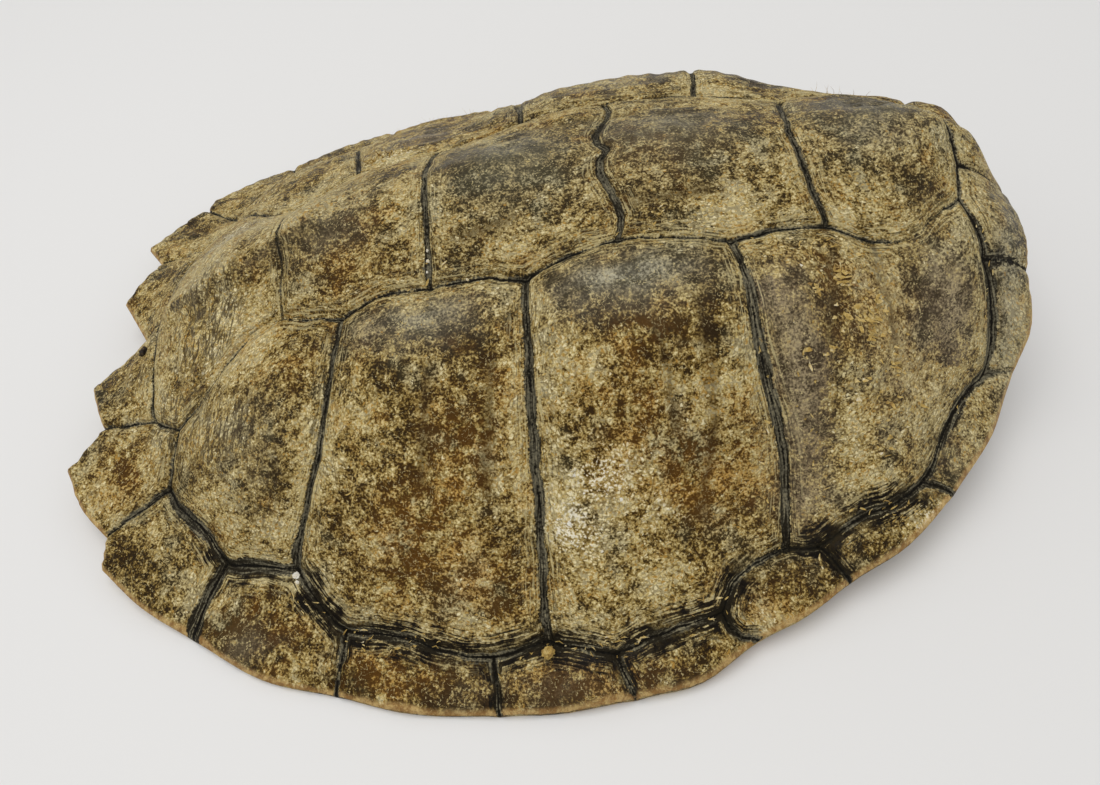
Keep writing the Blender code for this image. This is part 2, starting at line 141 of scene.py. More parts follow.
# Points that a seam passes on its way between two corners. On the rim they carry a height.
BENDS = {
    ("nuchal.m1.rim", "m1.m2.rim"): [(155.5, 21, 49)],
    ("m1.m2.rim", "m2.m3.rim"): [(153.5, 47, 35)],
    ("m2.m3.rim", "m3.m4.rim"): [(136, 76, 20)],
    ("m3.m4.rim", "m4.m5.rim"): [(104, 106, 13)],
    ("m4.m5.rim", "m5.m6.rim"): [(72, 122.5, 8)],
    ("m5.m6.rim", "m6.m7.rim"): [(40, 137.5, 3.5)],
    ("m6.m7.rim", "m7.m8.rim"): [(2, 142.5, 2)],
    ("m7.m8.rim", "m8.m9.rim"): [(-42, 139.5, 1.5)],
    ("m8.m9.rim", "m9.m10.rim"): [(-87, 126.5, 1.5)],
    ("m9.m10.rim", "m10.tip"): [(-128, 102, 3.5)],
    ("m10.m11.rim", "m11.tip"): [(-154, 68, 9)],
    ("v2.v3.c2", "v2.v3"): [(30, 26), (28, 18), (25, 9), (25.5, 4)],
    ("v1.v2.c1", "v1.v2"): [(86, 20)],
    ("v1.v2.c1", "v1.c1.m1"): [(99, 36), (112, 36), (122, 29)],
    ("v2.v3.c2", "v2.c1.c2"): [(44, 34)],
    ("v2.c1.c2", "v1.v2.c1"): [(76, 33)],
    ("v2.v3.c2", "v3.c2.c3"): [(14, 35)],
    ("v3.c2.c3", "v3.v4.c3"): [(-14, 34)],
    ("v3.v4.c3", "v4.c3.c4"): [(-44, 33)],
    ("v4.v5.c4", "v5.c4.m11"): [(-88, 29), (-99, 36), (-108, 45)],
    ("v5.m11.m12", "v5.m12"): [(-134, 25)],
    ("v2.c1.c2", "c1.c2.m5"): [(62, 50), (63.5, 66), (69, 84)],
    ("v4.c3.c4", "c3.c4.m9"): [(-61, 52), (-66, 74)],
    ("c1.m2.m3", "c1.m1.m2"): [(139, 50)],
    ("c1.m3.m4", "c1.m2.m3"): [(121, 76), (130, 66)],
    ("c1.m4.m5", "c1.m3.m4"): [(88, 101), (100, 97)],
    ("c2.m5.m6", "c1.c2.m5"): [(51, 116), (59, 110)],
    ("c2.m6.m7", "c2.m5.m6"): [(30, 127)],
    ("c3.m8.m9", "c3.m7.m8"): [(-45, 121), (-32, 126)],
    ("c3.m8.m9", "c3.c4.m9"): [(-69, 109)],
    ("c4.m9.m10", "c4.m10.m11"): [(-107, 84), (-115, 77)],
    ("c2.m5.m6", "m5.m6.rim"): [(49, 126), (52, 128)],
    ("c4.m10.m11", "m10.m11.rim"): [(-132, 71)],
    ("c4.m9.m10", "m9.m10.rim"): [(-106, 103)],
}

# Each scute's corners, in order round it. A middle scute lists its right half, front to back.
MIDDLE_SCUTES = {
    "nuchal": ("nuchal.front", "nuchal.m1.rim", "v1.nuchal.m1", "v1.nuchal"),
    "v1": ("v1.nuchal", "v1.nuchal.m1", "v1.c1.m1", "v1.v2.c1", "v1.v2"),
    "v2": ("v1.v2", "v1.v2.c1", "v2.c1.c2", "v2.v3.c2", "v2.v3"),
    "v3": ("v2.v3", "v2.v3.c2", "v3.c2.c3", "v3.v4.c3", "v3.v4"),
    "v4": ("v3.v4", "v3.v4.c3", "v4.c3.c4", "v4.v5.c4", "v4.v5"),
    "v5": ("v4.v5", "v4.v5.c4", "v5.c4.m11", "v5.m11.m12", "v5.m12"),
}
SIDE_SCUTES = {
    "c1": (
        "v1.c1.m1", "c1.m1.m2", "c1.m2.m3", "c1.m3.m4",
        "c1.m4.m5", "c1.c2.m5", "v2.c1.c2", "v1.v2.c1",
    ),
    "c2": ("v2.c1.c2", "c1.c2.m5", "c2.m5.m6", "c2.m6.m7", "c2.c3.m7", "v3.c2.c3", "v2.v3.c2"),
    "c3": ("v3.c2.c3", "c2.c3.m7", "c3.m7.m8", "c3.m8.m9", "c3.c4.m9", "v4.c3.c4", "v3.v4.c3"),
    "c4": ("v4.c3.c4", "c3.c4.m9", "c4.m9.m10", "c4.m10.m11", "v5.c4.m11", "v4.v5.c4"),
    "m1": ("nuchal.m1.rim", "m1.m2.rim", "c1.m1.m2", "v1.c1.m1", "v1.nuchal.m1"),
    "m2": ("m1.m2.rim", "m2.m3.rim", "c1.m2.m3", "c1.m1.m2"),
    "m3": ("m2.m3.rim", "m3.m4.rim", "c1.m3.m4", "c1.m2.m3"),
    "m4": ("m3.m4.rim", "m4.m5.rim", "c1.m4.m5", "c1.m3.m4"),
    "m5": ("m4.m5.rim", "m5.m6.rim", "c2.m5.m6", "c1.c2.m5", "c1.m4.m5"),
    "m6": ("m5.m6.rim", "m6.m7.rim", "c2.m6.m7", "c2.m5.m6"),
    "m7": ("m6.m7.rim", "m7.m8.rim", "c3.m7.m8", "c2.c3.m7", "c2.m6.m7"),
    "m8": ("m7.m8.rim", "m8.m9.rim", "c3.m8.m9", "c3.m7.m8"),
    "m9": ("m8.m9.rim", "m9.m10.rim", "c4.m9.m10", "c3.c4.m9", "c3.m8.m9"),
    "m10": ("m9.m10.rim", "m10.tip", "m10.m11.rim", "c4.m10.m11", "c4.m9.m10"),
    "m11": ("m10.m11.rim", "m11.tip", "m11.m12.rim", "v5.m11.m12", "v5.c4.m11", "c4.m10.m11"),
    "m12": ("m11.m12.rim", "m12.tip", "notch", "v5.m12", "v5.m11.m12"),
}

# Heights between the corners: along the crest, and on the faces of the costal scutes.
CREST = ((-103, 49), (-55, 67), (0, 77), (55, 80), (106, 80), (142, 69))
COSTAL_FACES = (
    (-100, 60, 32.5), (-70, 62, 41.5), (-35, 62, 49.5), (0, 62, 56.5), (35, 62, 63), (65, 60, 64),
    (95, 55, 57.5), (118, 45, 57), (-105, 78, 22), (-75, 82, 29.5), (-35, 88, 35), (0, 88, 38),
    (35, 86, 43), (68, 82, 38.5), (98, 70, 44), (-60, 105, 18.5), (-20, 112, 20), (20, 112, 22),
    (50, 105, 23),
)

# Swellings of the growth centres: forward, outward, radius, height.
BOSSES = (
    (-100, 0, 16, 3.0), (-70, 0, 15, 3.5), (-18, 0, 17, 1.6), (38, 0, 18, 1.4), (92, 0, 18, 0.8),
    (-84, 46, 15, 1.8), (-44, 50, 17, 2.2), (12, 50, 18, 2.4), (70, 50, 18, 1.6), (143, 28, 9, 3.0),
)

# Old growth lines, straight from one place to another: forward, left, forward, left.
GROWTH_LINES = (
    (48, -55, 50, -80), (50, -80, 44, -100), (36, -60, 39, -82), (-11, -60, -16, -92), (-30, -58, -34, -86),
    (88, -40, 84, -66), (100, -38, 104, -62), (10, 22, 38, 20), (-20, -22, -2, -20), (30, -22, 60, -20),
)

# Where the crease of the keel runs at the rear: forward, left. And how high it stands.
KEEL = (
    (-136, -3.0), (-124, -5.0), (-110, -9.5), (-94, -8.5), (-80, -6.5), (-70, -4.5), (-55, -4.0),
    (-42, -3.0), (-28, 0.0),
)
KEEL_HEIGHT = 2.9

# The fine forms that the outer face carries, in millimetres: how deep the grooves of the seams,
# the gaps and the old growth lines are, and how high the lips, rings, wear and wrinkles stand.
GROOVE_DEPTH = 0.8
GROOVE_WIDTH = 0.9
BROAD_GROOVE_DEPTH = 0.7
GAP_DEPTH = 1.7
GROWTH_LINE_DEPTH = 0.5
GROWTH_LINE_WIDTH = 1.5
LIP_HEIGHT = 0.22
LIP_FROM_SEAM = 2.6
RING_HEIGHT = 0.24
RING_SPACING = 7.0
WEAR_HEIGHTS = (0.5, 0.34)
WRINKLE_HEIGHT = 0.9

# How fine the shell's mesh is before its edges are halved, in millimetres. They are halved once
# more beside the seams.
SEAM_STEP = 3.6
FACE_CELL = 5.0
INNER_CELL = 12.0
SPINE_CELL = 6.0
SEAM_BAND = 3.2
SAMPLE_STEP = 0.3
RIM_ENDS = ("rim", "tip", "notch", "front")

# As far from a seam as the finish has to know.
FAR = 30.0


def drifted(x, y):
    """A point of the left-hand half, moved a little so that the halves don't match exactly."""
    amount = DRIFT * min(1.0, abs(y) / 30.0)
    return x + amount * math.sin(x / 31.0 + 0.8), y + amount * math.sin(x / 23.0 + abs(y) / 40.0)


def placed(x, y, side):
    return (x, -y) if side < 0 else drifted(x, y)


def key_of(name, side):
    return (name, 0 if CORNERS[name][1] == 0 else side)


def smooth_path(points, step):
    """Points every step or so along a Catmull-Rom curve through the given ones, ends included."""
    points = [np.array(p, float) for p in points]
    ends = [2 * points[0] - points[1]] + points + [2 * points[-1] - points[-2]]
    path = [points[0]]
    for a, b, c, d in zip(ends, ends[1:], ends[2:], ends[3:]):
        pieces = max(1, round(float(np.linalg.norm(c - b)) / step))
        for i in range(1, pieces + 1):
            t = i / pieces
            bend = (2 * a - 5 * b + 4 * c - d) * t**2 + (3 * b - a - 3 * c + d) * t**3
            path.append(b + ((c - a) * t + bend) / 2)
    return path


def thin_plate(points, smoothing):
    """The height of a springy sheet bent over the points, as a function of two arrays."""
    points = np.array(points, float)
    flat = points[:, :2] / SHEET_UNIT

    def spring(squared):
        return np.where(squared > 1e-9, squared * np.log(np.maximum(squared, 1e-9)), 0.0)

    count = len(flat)
    plane = np.column_stack([np.ones(count), flat])
    matrix = np.zeros((count + 3, count + 3))
    matrix[:count, :count] = spring(((flat[:, None] - flat[None]) ** 2).sum(-1)) + smoothing * np.eye(count)
    matrix[:count, count:] = plane
    matrix[count:, :count] = plane.T
    weights = np.linalg.solve(matrix, np.concatenate([points[:, 2], np.zeros(3)]))

    def height(x, y):
        where = np.column_stack([x, y]) / SHEET_UNIT
        near = spring(((where[:, None] - flat[None]) ** 2).sum(-1))
        return near @ weights[:count] + weights[count] + where @ weights[count + 1:]

    return height


def dome_points():
    """Every height that the tables give, on both halves. The rim's are raised by its rounding."""
    half = []
    for name, (x, y, z) in CORNERS.items():
        half.append((x, y, z + RIM_ROUNDING if name.endswith(RIM_ENDS) else z))
    for bends in BENDS.values():
        half += [(b[0], b[1], b[2] + RIM_ROUNDING) for b in bends if len(b) == 3]
    half += [(x, 0, z) for x, z in CREST] + list(COSTAL_FACES)
    return half + [(x, -y, z) for x, y, z in half if y > 0]


dome = thin_plate(dome_points(), DOME_SMOOTHING)


def swellings(x, y):
    """What the growth centres add to the dome."""
    total = np.zeros_like(x)
    for bx, by, radius, height in BOSSES:
        for side in {-1, 1 if by else -1}:
            squared = ((x - bx) ** 2 + (y - side * by) ** 2) / radius**2
            total += height * np.exp(-squared)
    return total


def wander(x, y, length, seed):
    """Smooth noise from -1 to 1 at each of the points, with features about length across."""
    return np.array([noise.noise((a / length, b / length, seed)) for a, b in zip(x, y)])


def step(low, high, value):
    """0 below low, 1 above high and a smooth rise between them."""
    t = np.clip((value - low) / (high - low), 0.0, 1.0)
    return t * t * (3 - 2 * t)


def bell(value, width):
    """1 where the value is 0, and next to nothing beyond twice the width."""
    return np.exp(-((value / width) ** 2))


class Network:
    """The seams between the scutes, drawn flat, each shared by the scutes on its two sides."""

    def __init__(self, bm):
        self.bm = bm
        self.corners = {}
        self.seams = {}
        self.sharers = {}

    def corner(self, name, side):
        key = key_of(name, side)
        if key not in self.corners:
            x, y, _ = CORNERS[name]
            self.corners[key] = self.bm.verts.new((*placed(x, y, side), 0.0))
        return self.corners[key]

    def seam(self, start, end, side, scute):
        """The vertices from one corner to the next, without the last."""
        key = (key_of(start, side), key_of(end, side))
        if key[::-1] in self.seams:
            self.sharers[key[::-1]].append(scute)
            return self.seams[key[::-1]][:0:-1]
        if key not in self.seams:
            bends = BENDS.get((start, end)) or BENDS.get((end, start), [])[::-1]
            route = [CORNERS[start][:2], *(b[:2] for b in bends), CORNERS[end][:2]]
            path = smooth_path([placed(x, y, side) for x, y in route], SEAM_STEP)
            middle = [self.bm.verts.new((p[0], p[1], 0.0)) for p in path[1:-1]]
            self.seams[key] = [self.corner(start, side), *middle, self.corner(end, side)]
            self.sharers[key] = []
        self.sharers[key].append(scute)
        return self.seams[key][:-1]

    def scute(self, name, stops):
        """One face round the given (corner, side) stops."""
        loop = []
        for (start, side_a), (end, side_b) in zip(stops, stops[1:] + stops[:1]):
            loop += self.seam(start, end, side_a if CORNERS[start][1] else side_b, name)
        return self.bm.faces.new(loop)


# The kinds of seam: deep ones along the shell, broad ones across it, those between the marginal
# scutes, and the rim itself.
ALONG, ACROSS, MARGINAL, RIM = range(4)


def kind_of(sharers):
    first = {name[0] for name in sharers}
    if len(sharers) == 1:
        return RIM
    if first == {"m"}:
        return MARGINAL
    return ACROSS if len(first) == 1 else ALONG


def flat_scutes():
    """The whole scute pattern as a flat mesh, and the points and kinds of its seams."""
    bm = bmesh.new()
    network = Network(bm)
    for name, stops in MIDDLE_SCUTES.items():
        right = [(stop, -1) for stop in stops]
        left = [(stop, 1) for stop in reversed(stops) if CORNERS[stop][1]]
        network.scute(name, right + left)
    for side in (-1, 1):
        for name, stops in SIDE_SCUTES.items():
            network.scute(name, [(stop, side) for stop in stops])
    for face in bm.faces:
        face.normal_update()
        if face.normal.z < 0:
            face.normal_flip()
    for edge in bm.edges:
        edge.seam = True
    lines = [
        (np.array([v.co.xy for v in verts]), kind_of(network.sharers[key]))
        for key, verts in network.seams.items()
    ]
    return bm, lines


def tree_of(points, numbers=None):
    """A search tree of flat points, which gives back their numbers."""
    tree = KDTree(len(points))
    for i, (x, y) in zip(range(len(points)) if numbers is None else numbers, points):
        tree.insert((x, y, 0.0), i)
    tree.balance()
    return tree


class Seams:
    """The nearest seam to any point, by kind."""

    def __init__(self, lines):
        points = [[p for line, k in lines if k == kind for p in self.sampled(line)] for kind in range(4)]
        self.trees = [tree_of(p) for p in points]
        self.all = tree_of(sum(points[:3], []))

    @staticmethod
    def sampled(line):
        for a, b in zip(line, line[1:]):
            pieces = max(1, round(float(np.linalg.norm(b - a)) / SAMPLE_STEP))
            for i in range(pieces + 1):
                yield a + (b - a) * i / pieces

    def clear(self, kind, x, y):
        """How far each point is from the nearest seam of the kind."""
        tree = self.trees[kind]
        return np.array([tree.find((a, b, 0.0))[2] for a, b in zip(x, y)])


def region(bm, material):
    """The faces of one material, their vertices, and the edges that may be split or turned."""
    faces = [f for f in bm.faces if f.material_index == material]
    verts = list(dict.fromkeys(v for f in faces for v in f.verts))
    edges = dict.fromkeys(e for f in faces for e in f.edges)
    return faces, verts, [e for e in edges if not e.seam]


def refine(bm, material, cell, rounds=12):
    """Splits the edges of one material's faces that are longer than cell says for their middles,
    and evens the triangles out. Edges marked as seams stay where they are."""
    for _ in range(rounds):
        bmesh.ops.triangulate(bm, faces=region(bm, material)[0])
        edges = region(bm, material)[2]
        ends = np.array([(*e.verts[0].co.xy, *e.verts[1].co.xy) for e in edges])
        length = np.hypot(ends[:, 0] - ends[:, 2], ends[:, 1] - ends[:, 3])
        middle = (ends[:, :2] + ends[:, 2:]) / 2
        long = np.flatnonzero(length > cell(middle[:, 0], middle[:, 1]))
        if not len(long):
            break
        bmesh.ops.subdivide_edges(bm, edges=[edges[i] for i in long], cuts=1)
        bmesh.ops.triangulate(bm, faces=region(bm, material)[0])
        faces, verts, edges = region(bm, material)
        bmesh.ops.beautify_fill(bm, faces=faces, edges=edges)
        free = [v for v in region(bm, material)[1] if not any(e.seam for e in v.link_edges)]
        bmesh.ops.smooth_vert(bm, verts=free, factor=0.5, use_axis_x=True, use_axis_y=True)


def drawn_in(bm, edges, inset, level, material):
    """A new ring of faces from a loop of edges, its far side nearer the middle of the shell. Its
    vertices keep the level, which later gives them their height."""
    level_of = bm.verts.layers.int["level"]
    grown = bmesh.ops.extrude_edge_only(bm, edges=edges)["geom"]
    for vert in (g for g in grown if isinstance(g, bmesh.types.BMVert)):
        vert[level_of] = level
        vert.co.xy *= 1 - inset / vert.co.xy.length
    for face in (g for g in grown if isinstance(g, bmesh.types.BMFace)):
        face.material_index = material
    for edge in (g for g in grown if isinstance(g, bmesh.types.BMEdge)):
        edge.seam = True
    return [g for g in grown if isinstance(g, bmesh.types.BMEdge) and g.is_boundary]


# The parts of the shell's mesh, and the rounded rim from its outline inwards: inset, drop.
HORN, EDGE, INSIDE = range(3)
RIM_PROFILE = ((0.05, 0.8), (0.15, 1.7), (0.3, 2.5), (0.45, 3.4), (0.5, 4.1), (0.6, RIM_THICKNESS))
SOLE_LEVEL, INSIDE_LEVEL = 10, 20
SOLE_INSETS = (1.8, 1.8, 1.8)


def halve(bm, edges):
    """Cuts each of the edges in two, and the triangles beside them into smaller ones."""
    bmesh.ops.subdivide_edges(bm, edges=edges, cuts=1, use_grid_fill=True)
    bmesh.ops.triangulate(bm, faces=[f for f in bm.faces if len(f.verts) > 3])


def shell_plan():
    """The shell's whole mesh in plan: its outer face, its rim and its inner face, by levels."""
    bm, lines = flat_scutes()
    seams = Seams(lines)
    bm.verts.layers.int.new("level")
    refine(bm, HORN, lambda x, y: np.full(len(x), FACE_CELL))
    ring = [e for e in bm.edges if e.is_boundary]
    for level, (inset, _) in enumerate(RIM_PROFILE):
        ring = drawn_in(bm, ring, inset, level + 1, EDGE)
    for i, inset in enumerate(SOLE_INSETS):
        ring = drawn_in(bm, ring, inset, SOLE_LEVEL + i, EDGE)
    count = len(bm.verts)
    bmesh.ops.edgeloop_fill(bm, edges=ring, mat_nr=INSIDE)
    refine(bm, INSIDE, lambda x, y: np.where(np.abs(y) < 2 * SPINE_REACH, SPINE_CELL, INNER_CELL))
    level_of = bm.verts.layers.int["level"]
    bm.verts.ensure_lookup_table()
    for vert in bm.verts[count:]:
        vert[level_of] = INSIDE_LEVEL
    halve(bm, [e for e in bm.edges if any(f.material_index == HORN for f in e.link_faces)])
    near = {v for v in bm.verts if seams.all.find(v.co)[2] < SEAM_BAND}
    halve(bm, [
        e for e in bm.edges
        if e.verts[0] in near and e.verts[1] in near
        and all(f.material_index == HORN for f in e.link_faces)
    ])
    bmesh.ops.triangulate(bm, faces=bm.faces[:])
    mesh = bpy.data.meshes.new("shell")
    bm.to_mesh(mesh)
    bm.free()
    return mesh, seams


def spine_and_ribs(x, y):
    """How far the row of vertebrae and the ribs stand down from the inner face."""
    start, end = SPINE_ENDS
    out = np.abs(y)
    along = ridge(1.0 - np.minimum(x - start, end - x) / SPINE_TAPER)
    spine = SPINE_HEIGHT * along * ridge(out / SPINE_REACH)
    rib = np.zeros_like(x)
    for station, sweep in zip(RIB_STATIONS, RIB_SWEEP):
        across = np.abs(x - station - sweep * out) / RIB_REACH
        head = RIB_HEAD_HEIGHT * bell(out - SPINE_REACH, RIB_HEAD_LENGTH)
        fade = np.clip((RIB_END - out) / RIB_TAPER, 0.0, 1.0)
        rib = np.maximum(rib, (RIB_HEIGHT + head) * fade * ridge(across))
    return np.hypot(spine, rib)


def ridge(across):
    """The height of a round-topped ridge of height 1, which ends where across is 1."""
    return 0.5 + 0.5 * np.cos(math.pi * np.clip(across, 0.0, 1.0))


def wall_height(x, y):
    """How much higher the dome's outside is than its inside, for the wall to be WALL thick."""
    slope = np.hypot(dome(x + 1, y) - dome(x - 1, y), dome(x, y + 1) - dome(x, y - 1)) / 2
    return WALL * np.minimum(np.sqrt(1 + slope**2), STEEPEST_WALL_FACTOR)


def beside_keel(x, y):
    """How far to the left of the keel's crease each point is."""
    stations, aside = zip(*KEEL)
    return y - np.interp(x, stations, aside)


def keel(x, y):
    """The worn keel along the middle, which ends in a sharp crease on the last vertebral scute."""
    left = beside_keel(x, y)
    fade = np.where(left < 0, np.exp(-np.hypot(left, 0.4) / 4.0), np.exp(-left / 9.0))
    hollow = 1.9 * bell(left + 6.0, 4.0) + 0.9 * bell(left - 10.0, 6.0)
    rear = (KEEL_HEIGHT * fade - hollow) * step(-136.0, -124.0, x) * (1 - step(-74.0, -56.0, x))
    front = bell(left, 7.0) * step(-62.0, -50.0, x) * (1 - step(70.0, 110.0, x))
    return rear + 0.6 * front


def growth_lines(x, y):
    """1 on the old growth lines, and nothing a few millimetres beside them."""
    x = x + 1.2 * wander(x, y, 8.0, 53.0)
    best = np.full_like(x, 99.0)
    for x0, y0, x1, y1 in GROWTH_LINES:
        dx, dy = x1 - x0, y1 - y0
        share = np.clip(((x - x0) * dx + (y - y0) * dy) / (dx * dx + dy * dy), 0.0, 1.0)
        best = np.minimum(best, np.hypot(x - x0 - share * dx, y - y0 - share * dy))
    return bell(best, GROWTH_LINE_WIDTH)


def scute_relief(x, y, gaps):
    """The forms on the outer face: seams, terraces of growth, wrinkles and wear."""
    along, across, marginal, rim = gaps
    seam = np.minimum(np.minimum(along, across), marginal)
    width = 1.0 + 0.45 * wander(x, y, 9.0, 2.0)
    clear = 1 - 0.75 * stain(x, y, STAINS["faint"])
    width = width * (1 + 1.3 * stain(x, y, STAINS["wide"]))
    relief = -GROOVE_DEPTH * bell(along, GROOVE_WIDTH * width) - 0.5 * bell(along, 3.0)
    relief -= BROAD_GROOVE_DEPTH * (1 - step(0.5, 1.5, across / width)) + 0.3 * bell(across, 3.4)
    relief = relief * clear - GAP_DEPTH * stain(x, y, GAPS) - GROWTH_LINE_DEPTH * growth_lines(x, y)
    relief -= GROOVE_DEPTH * bell(marginal, GROOVE_WIDTH * width) + 0.5 * bell(marginal, 2.6)
    relief += LIP_HEIGHT * bell(seam - LIP_FROM_SEAM, 0.9) * (1 + wander(x, y, 6.0, 41.0))
    rings = np.sin(2 * math.pi * (seam + 1.8 * wander(x, y, 22.0, 7.0)) / RING_SPACING)
    relief += RING_HEIGHT * rings * step(3.0, 8.0, seam) * (1 + wander(x, y, 17.0, 43.0))
    wear = WEAR_HEIGHTS[0] * wander(x, y, 12.0, 11.0) + WEAR_HEIGHTS[1] * wander(x, y, 6.5, 13.0)
    relief += wear * step(0.5, 4.0, seam)
    folds = 1 - 2.6 * np.abs(wander(x * 0.97 - y * 0.22, x * 0.07 + y * 0.3, 5.0, 47.0))
    relief += WRINKLE_HEIGHT * stain(x, y, WRINKLED) * folds * step(0.0, 3.0, seam)
    return relief - RIM_ROUNDING * (1 - np.sqrt(1 - (1 - np.minimum(rim / RIM_ROUNDING, 1.0)) ** 2))


def outer_face(x, y, gaps):
    """The points of the outer face: the dome and its swellings, with the fine forms square to it."""
    clear = np.min(gaps, axis=0)

    def smooth(a, b):
        return dome(a, b) + swellings(a, b)

    slope_x = smooth(x + 0.5, y) - smooth(x - 0.5, y)
    slope_y = smooth(x, y + 0.5) - smooth(x, y - 0.5)
    normal = np.column_stack([-slope_x, -slope_y, np.ones_like(x)])
    normal /= np.linalg.norm(normal, axis=1)[:, None]
    height = smooth(x, y) + keel(x, y) + SCUTE_SWELL * (1 - np.exp(-clear / SWELL_REACH))
    relief = scute_relief(x, y, gaps)
    square = step(0.5, 5.0, gaps[RIM])[:, None]
    upright = np.array([[0.0, 0.0, 1.0]])
    return np.column_stack([x, y, height]) + relief[:, None] * (normal * square + upright * (1 - square))


def array_of(layer, key, count, kind=float):
    values = np.empty(count, kind)
    layer.foreach_get(key, values)
    return values


def shown(name, data):
    """An object in the scene that shows the mesh, camera or lamp."""
    obj = bpy.data.objects.new(name, data)
    bpy.context.scene.collection.objects.link(obj)
    return obj


def shape_rim(points, plan, level, outline):
    """Sets the rim's rings at their drops below the nearest points of the outline."""
    tree = tree_of(plan[outline], outline)
    drops = {i + 1: drop for i, (_, drop) in enumerate(RIM_PROFILE)}
    for i in np.flatnonzero((level > 0) & (level < INSIDE_LEVEL)):
        found = tree.find_n((*plan[i], 0.0), 3)
        share = np.array([1 / (0.01 + distance) for _, _, distance in found])
        rim_z = share @ points[[k for _, k, _ in found], 2] / share.sum()
        points[i, 2] = max(0.0, rim_z - drops.get(level[i], RIM_THICKNESS))


def shape_inside(points, plan, level):
    """Sets the inner face a wall's thickness under the dome, with the spine and ribs under it."""
    inside = np.flatnonzero(level == INSIDE_LEVEL)
    sole = np.flatnonzero(level == SOLE_LEVEL + len(SOLE_INSETS) - 1)
    tree = tree_of(plan[sole], sole)
    x, y = plan[inside].T
    found = [tree.find((a, b, 0.0)) for a, b in zip(x, y)]
    nearest = [i for _, i, _ in found]
    share = step(0.0, SOLE_BLEND, np.array([distance for _, _, distance in found]))
    depth = dome(*plan[nearest].T) - points[nearest, 2]
    wall = wall_height(x, y) * share + depth * (1 - share)
    worn = 0.35 * wander(x, y, 14.0, 21.0) + 0.2 * wander(x, y, 6.0, 23.0)
    points[inside, 2] = np.maximum(0.0, dome(x, y) - wall - (spine_and_ribs(x, y) + worn) * share)


def carapace():
    """The whole shell as one closed piece, with what its finish has to know about each point."""
    mesh, seams = shell_plan()
    count = len(mesh.vertices)
    points = array_of(mesh.vertices, "co", count * 3).reshape(-1, 3)
    level = array_of(mesh.attributes["level"].data, "value", count, np.int32)
    plan = points[:, :2].copy()
    outer = np.flatnonzero(level == 0)
    x, y = plan[outer].T
    gaps = [seams.clear(kind, x, y) for kind in range(4)]
    # Away from the rim every point sways a little, so that no seam is quite even.
    sway_x, sway_y = (
        0.55 * wander(x, y, 7.0, broad) + 0.25 * wander(x, y, 3.0, fine)
        for broad, fine in ((3.0, 4.0), (8.0, 9.0))
    )
    free = step(0.0, 6.0, gaps[RIM])
    points[outer] = outer_face(x + free * sway_x, y + free * sway_y, gaps)
    shape_rim(points, plan, level, outer[gaps[RIM] < 0.01])
    shape_inside(points, plan, level)

    middle = (points[:, :2].max(0) + points[:, :2].min(0)) / 2
    points = (points - [*middle, 0.0]) * MM
    mesh.vertices.foreach_set("co", np.clip(points, SOLID_LOW, SOLID_HIGH).ravel())

    def mark(name, values, elsewhere=0.0, where=outer):
        """Keeps the values of the outer face's points, and one value for those elsewhere."""
        every = np.full(count, elsewhere, np.float32)
        every[where] = values
        mesh.attributes.new(name, "FLOAT", "POINT").data.foreach_set("value", every)

    for name, gap in zip(("along", "across", "marginal", "rim"), gaps):
        mark(name, np.minimum(gap, FAR), FAR)
    mark("bone", np.minimum(level / len(RIM_PROFILE), 1.0), where=slice(None))
    # The two sides of the keel's crease at the rear: painted shade on the near side, painted light on the far
    # side.
    left = beside_keel(x, y) + 0.5 * wander(x, y, 7.0, 59.0)
    creased = step(-134.0, -124.0, x) * (1 - step(-66.0, -34.0, x))
    mark("growth", growth_lines(x, y))
    mark("lee", creased * step(-0.5, 0.8, -left) * np.exp(np.minimum(left, 0.0) / 3.5))
    mark("crest", creased * step(-0.8, 0.5, left) * np.exp(-np.maximum(left, 0.0) / 12.0))
    for name, spots in (*STAINS.items(), ("wrinkled", WRINKLED), ("gap", GAPS)):
        mark(name, stain(x, y, spots))

    mesh.polygons.foreach_set("material_index", np.zeros(len(mesh.polygons), np.int32))
    mesh.materials.append(shell_finish())
    mesh.shade_smooth()
    return shown("shell", mesh), middle


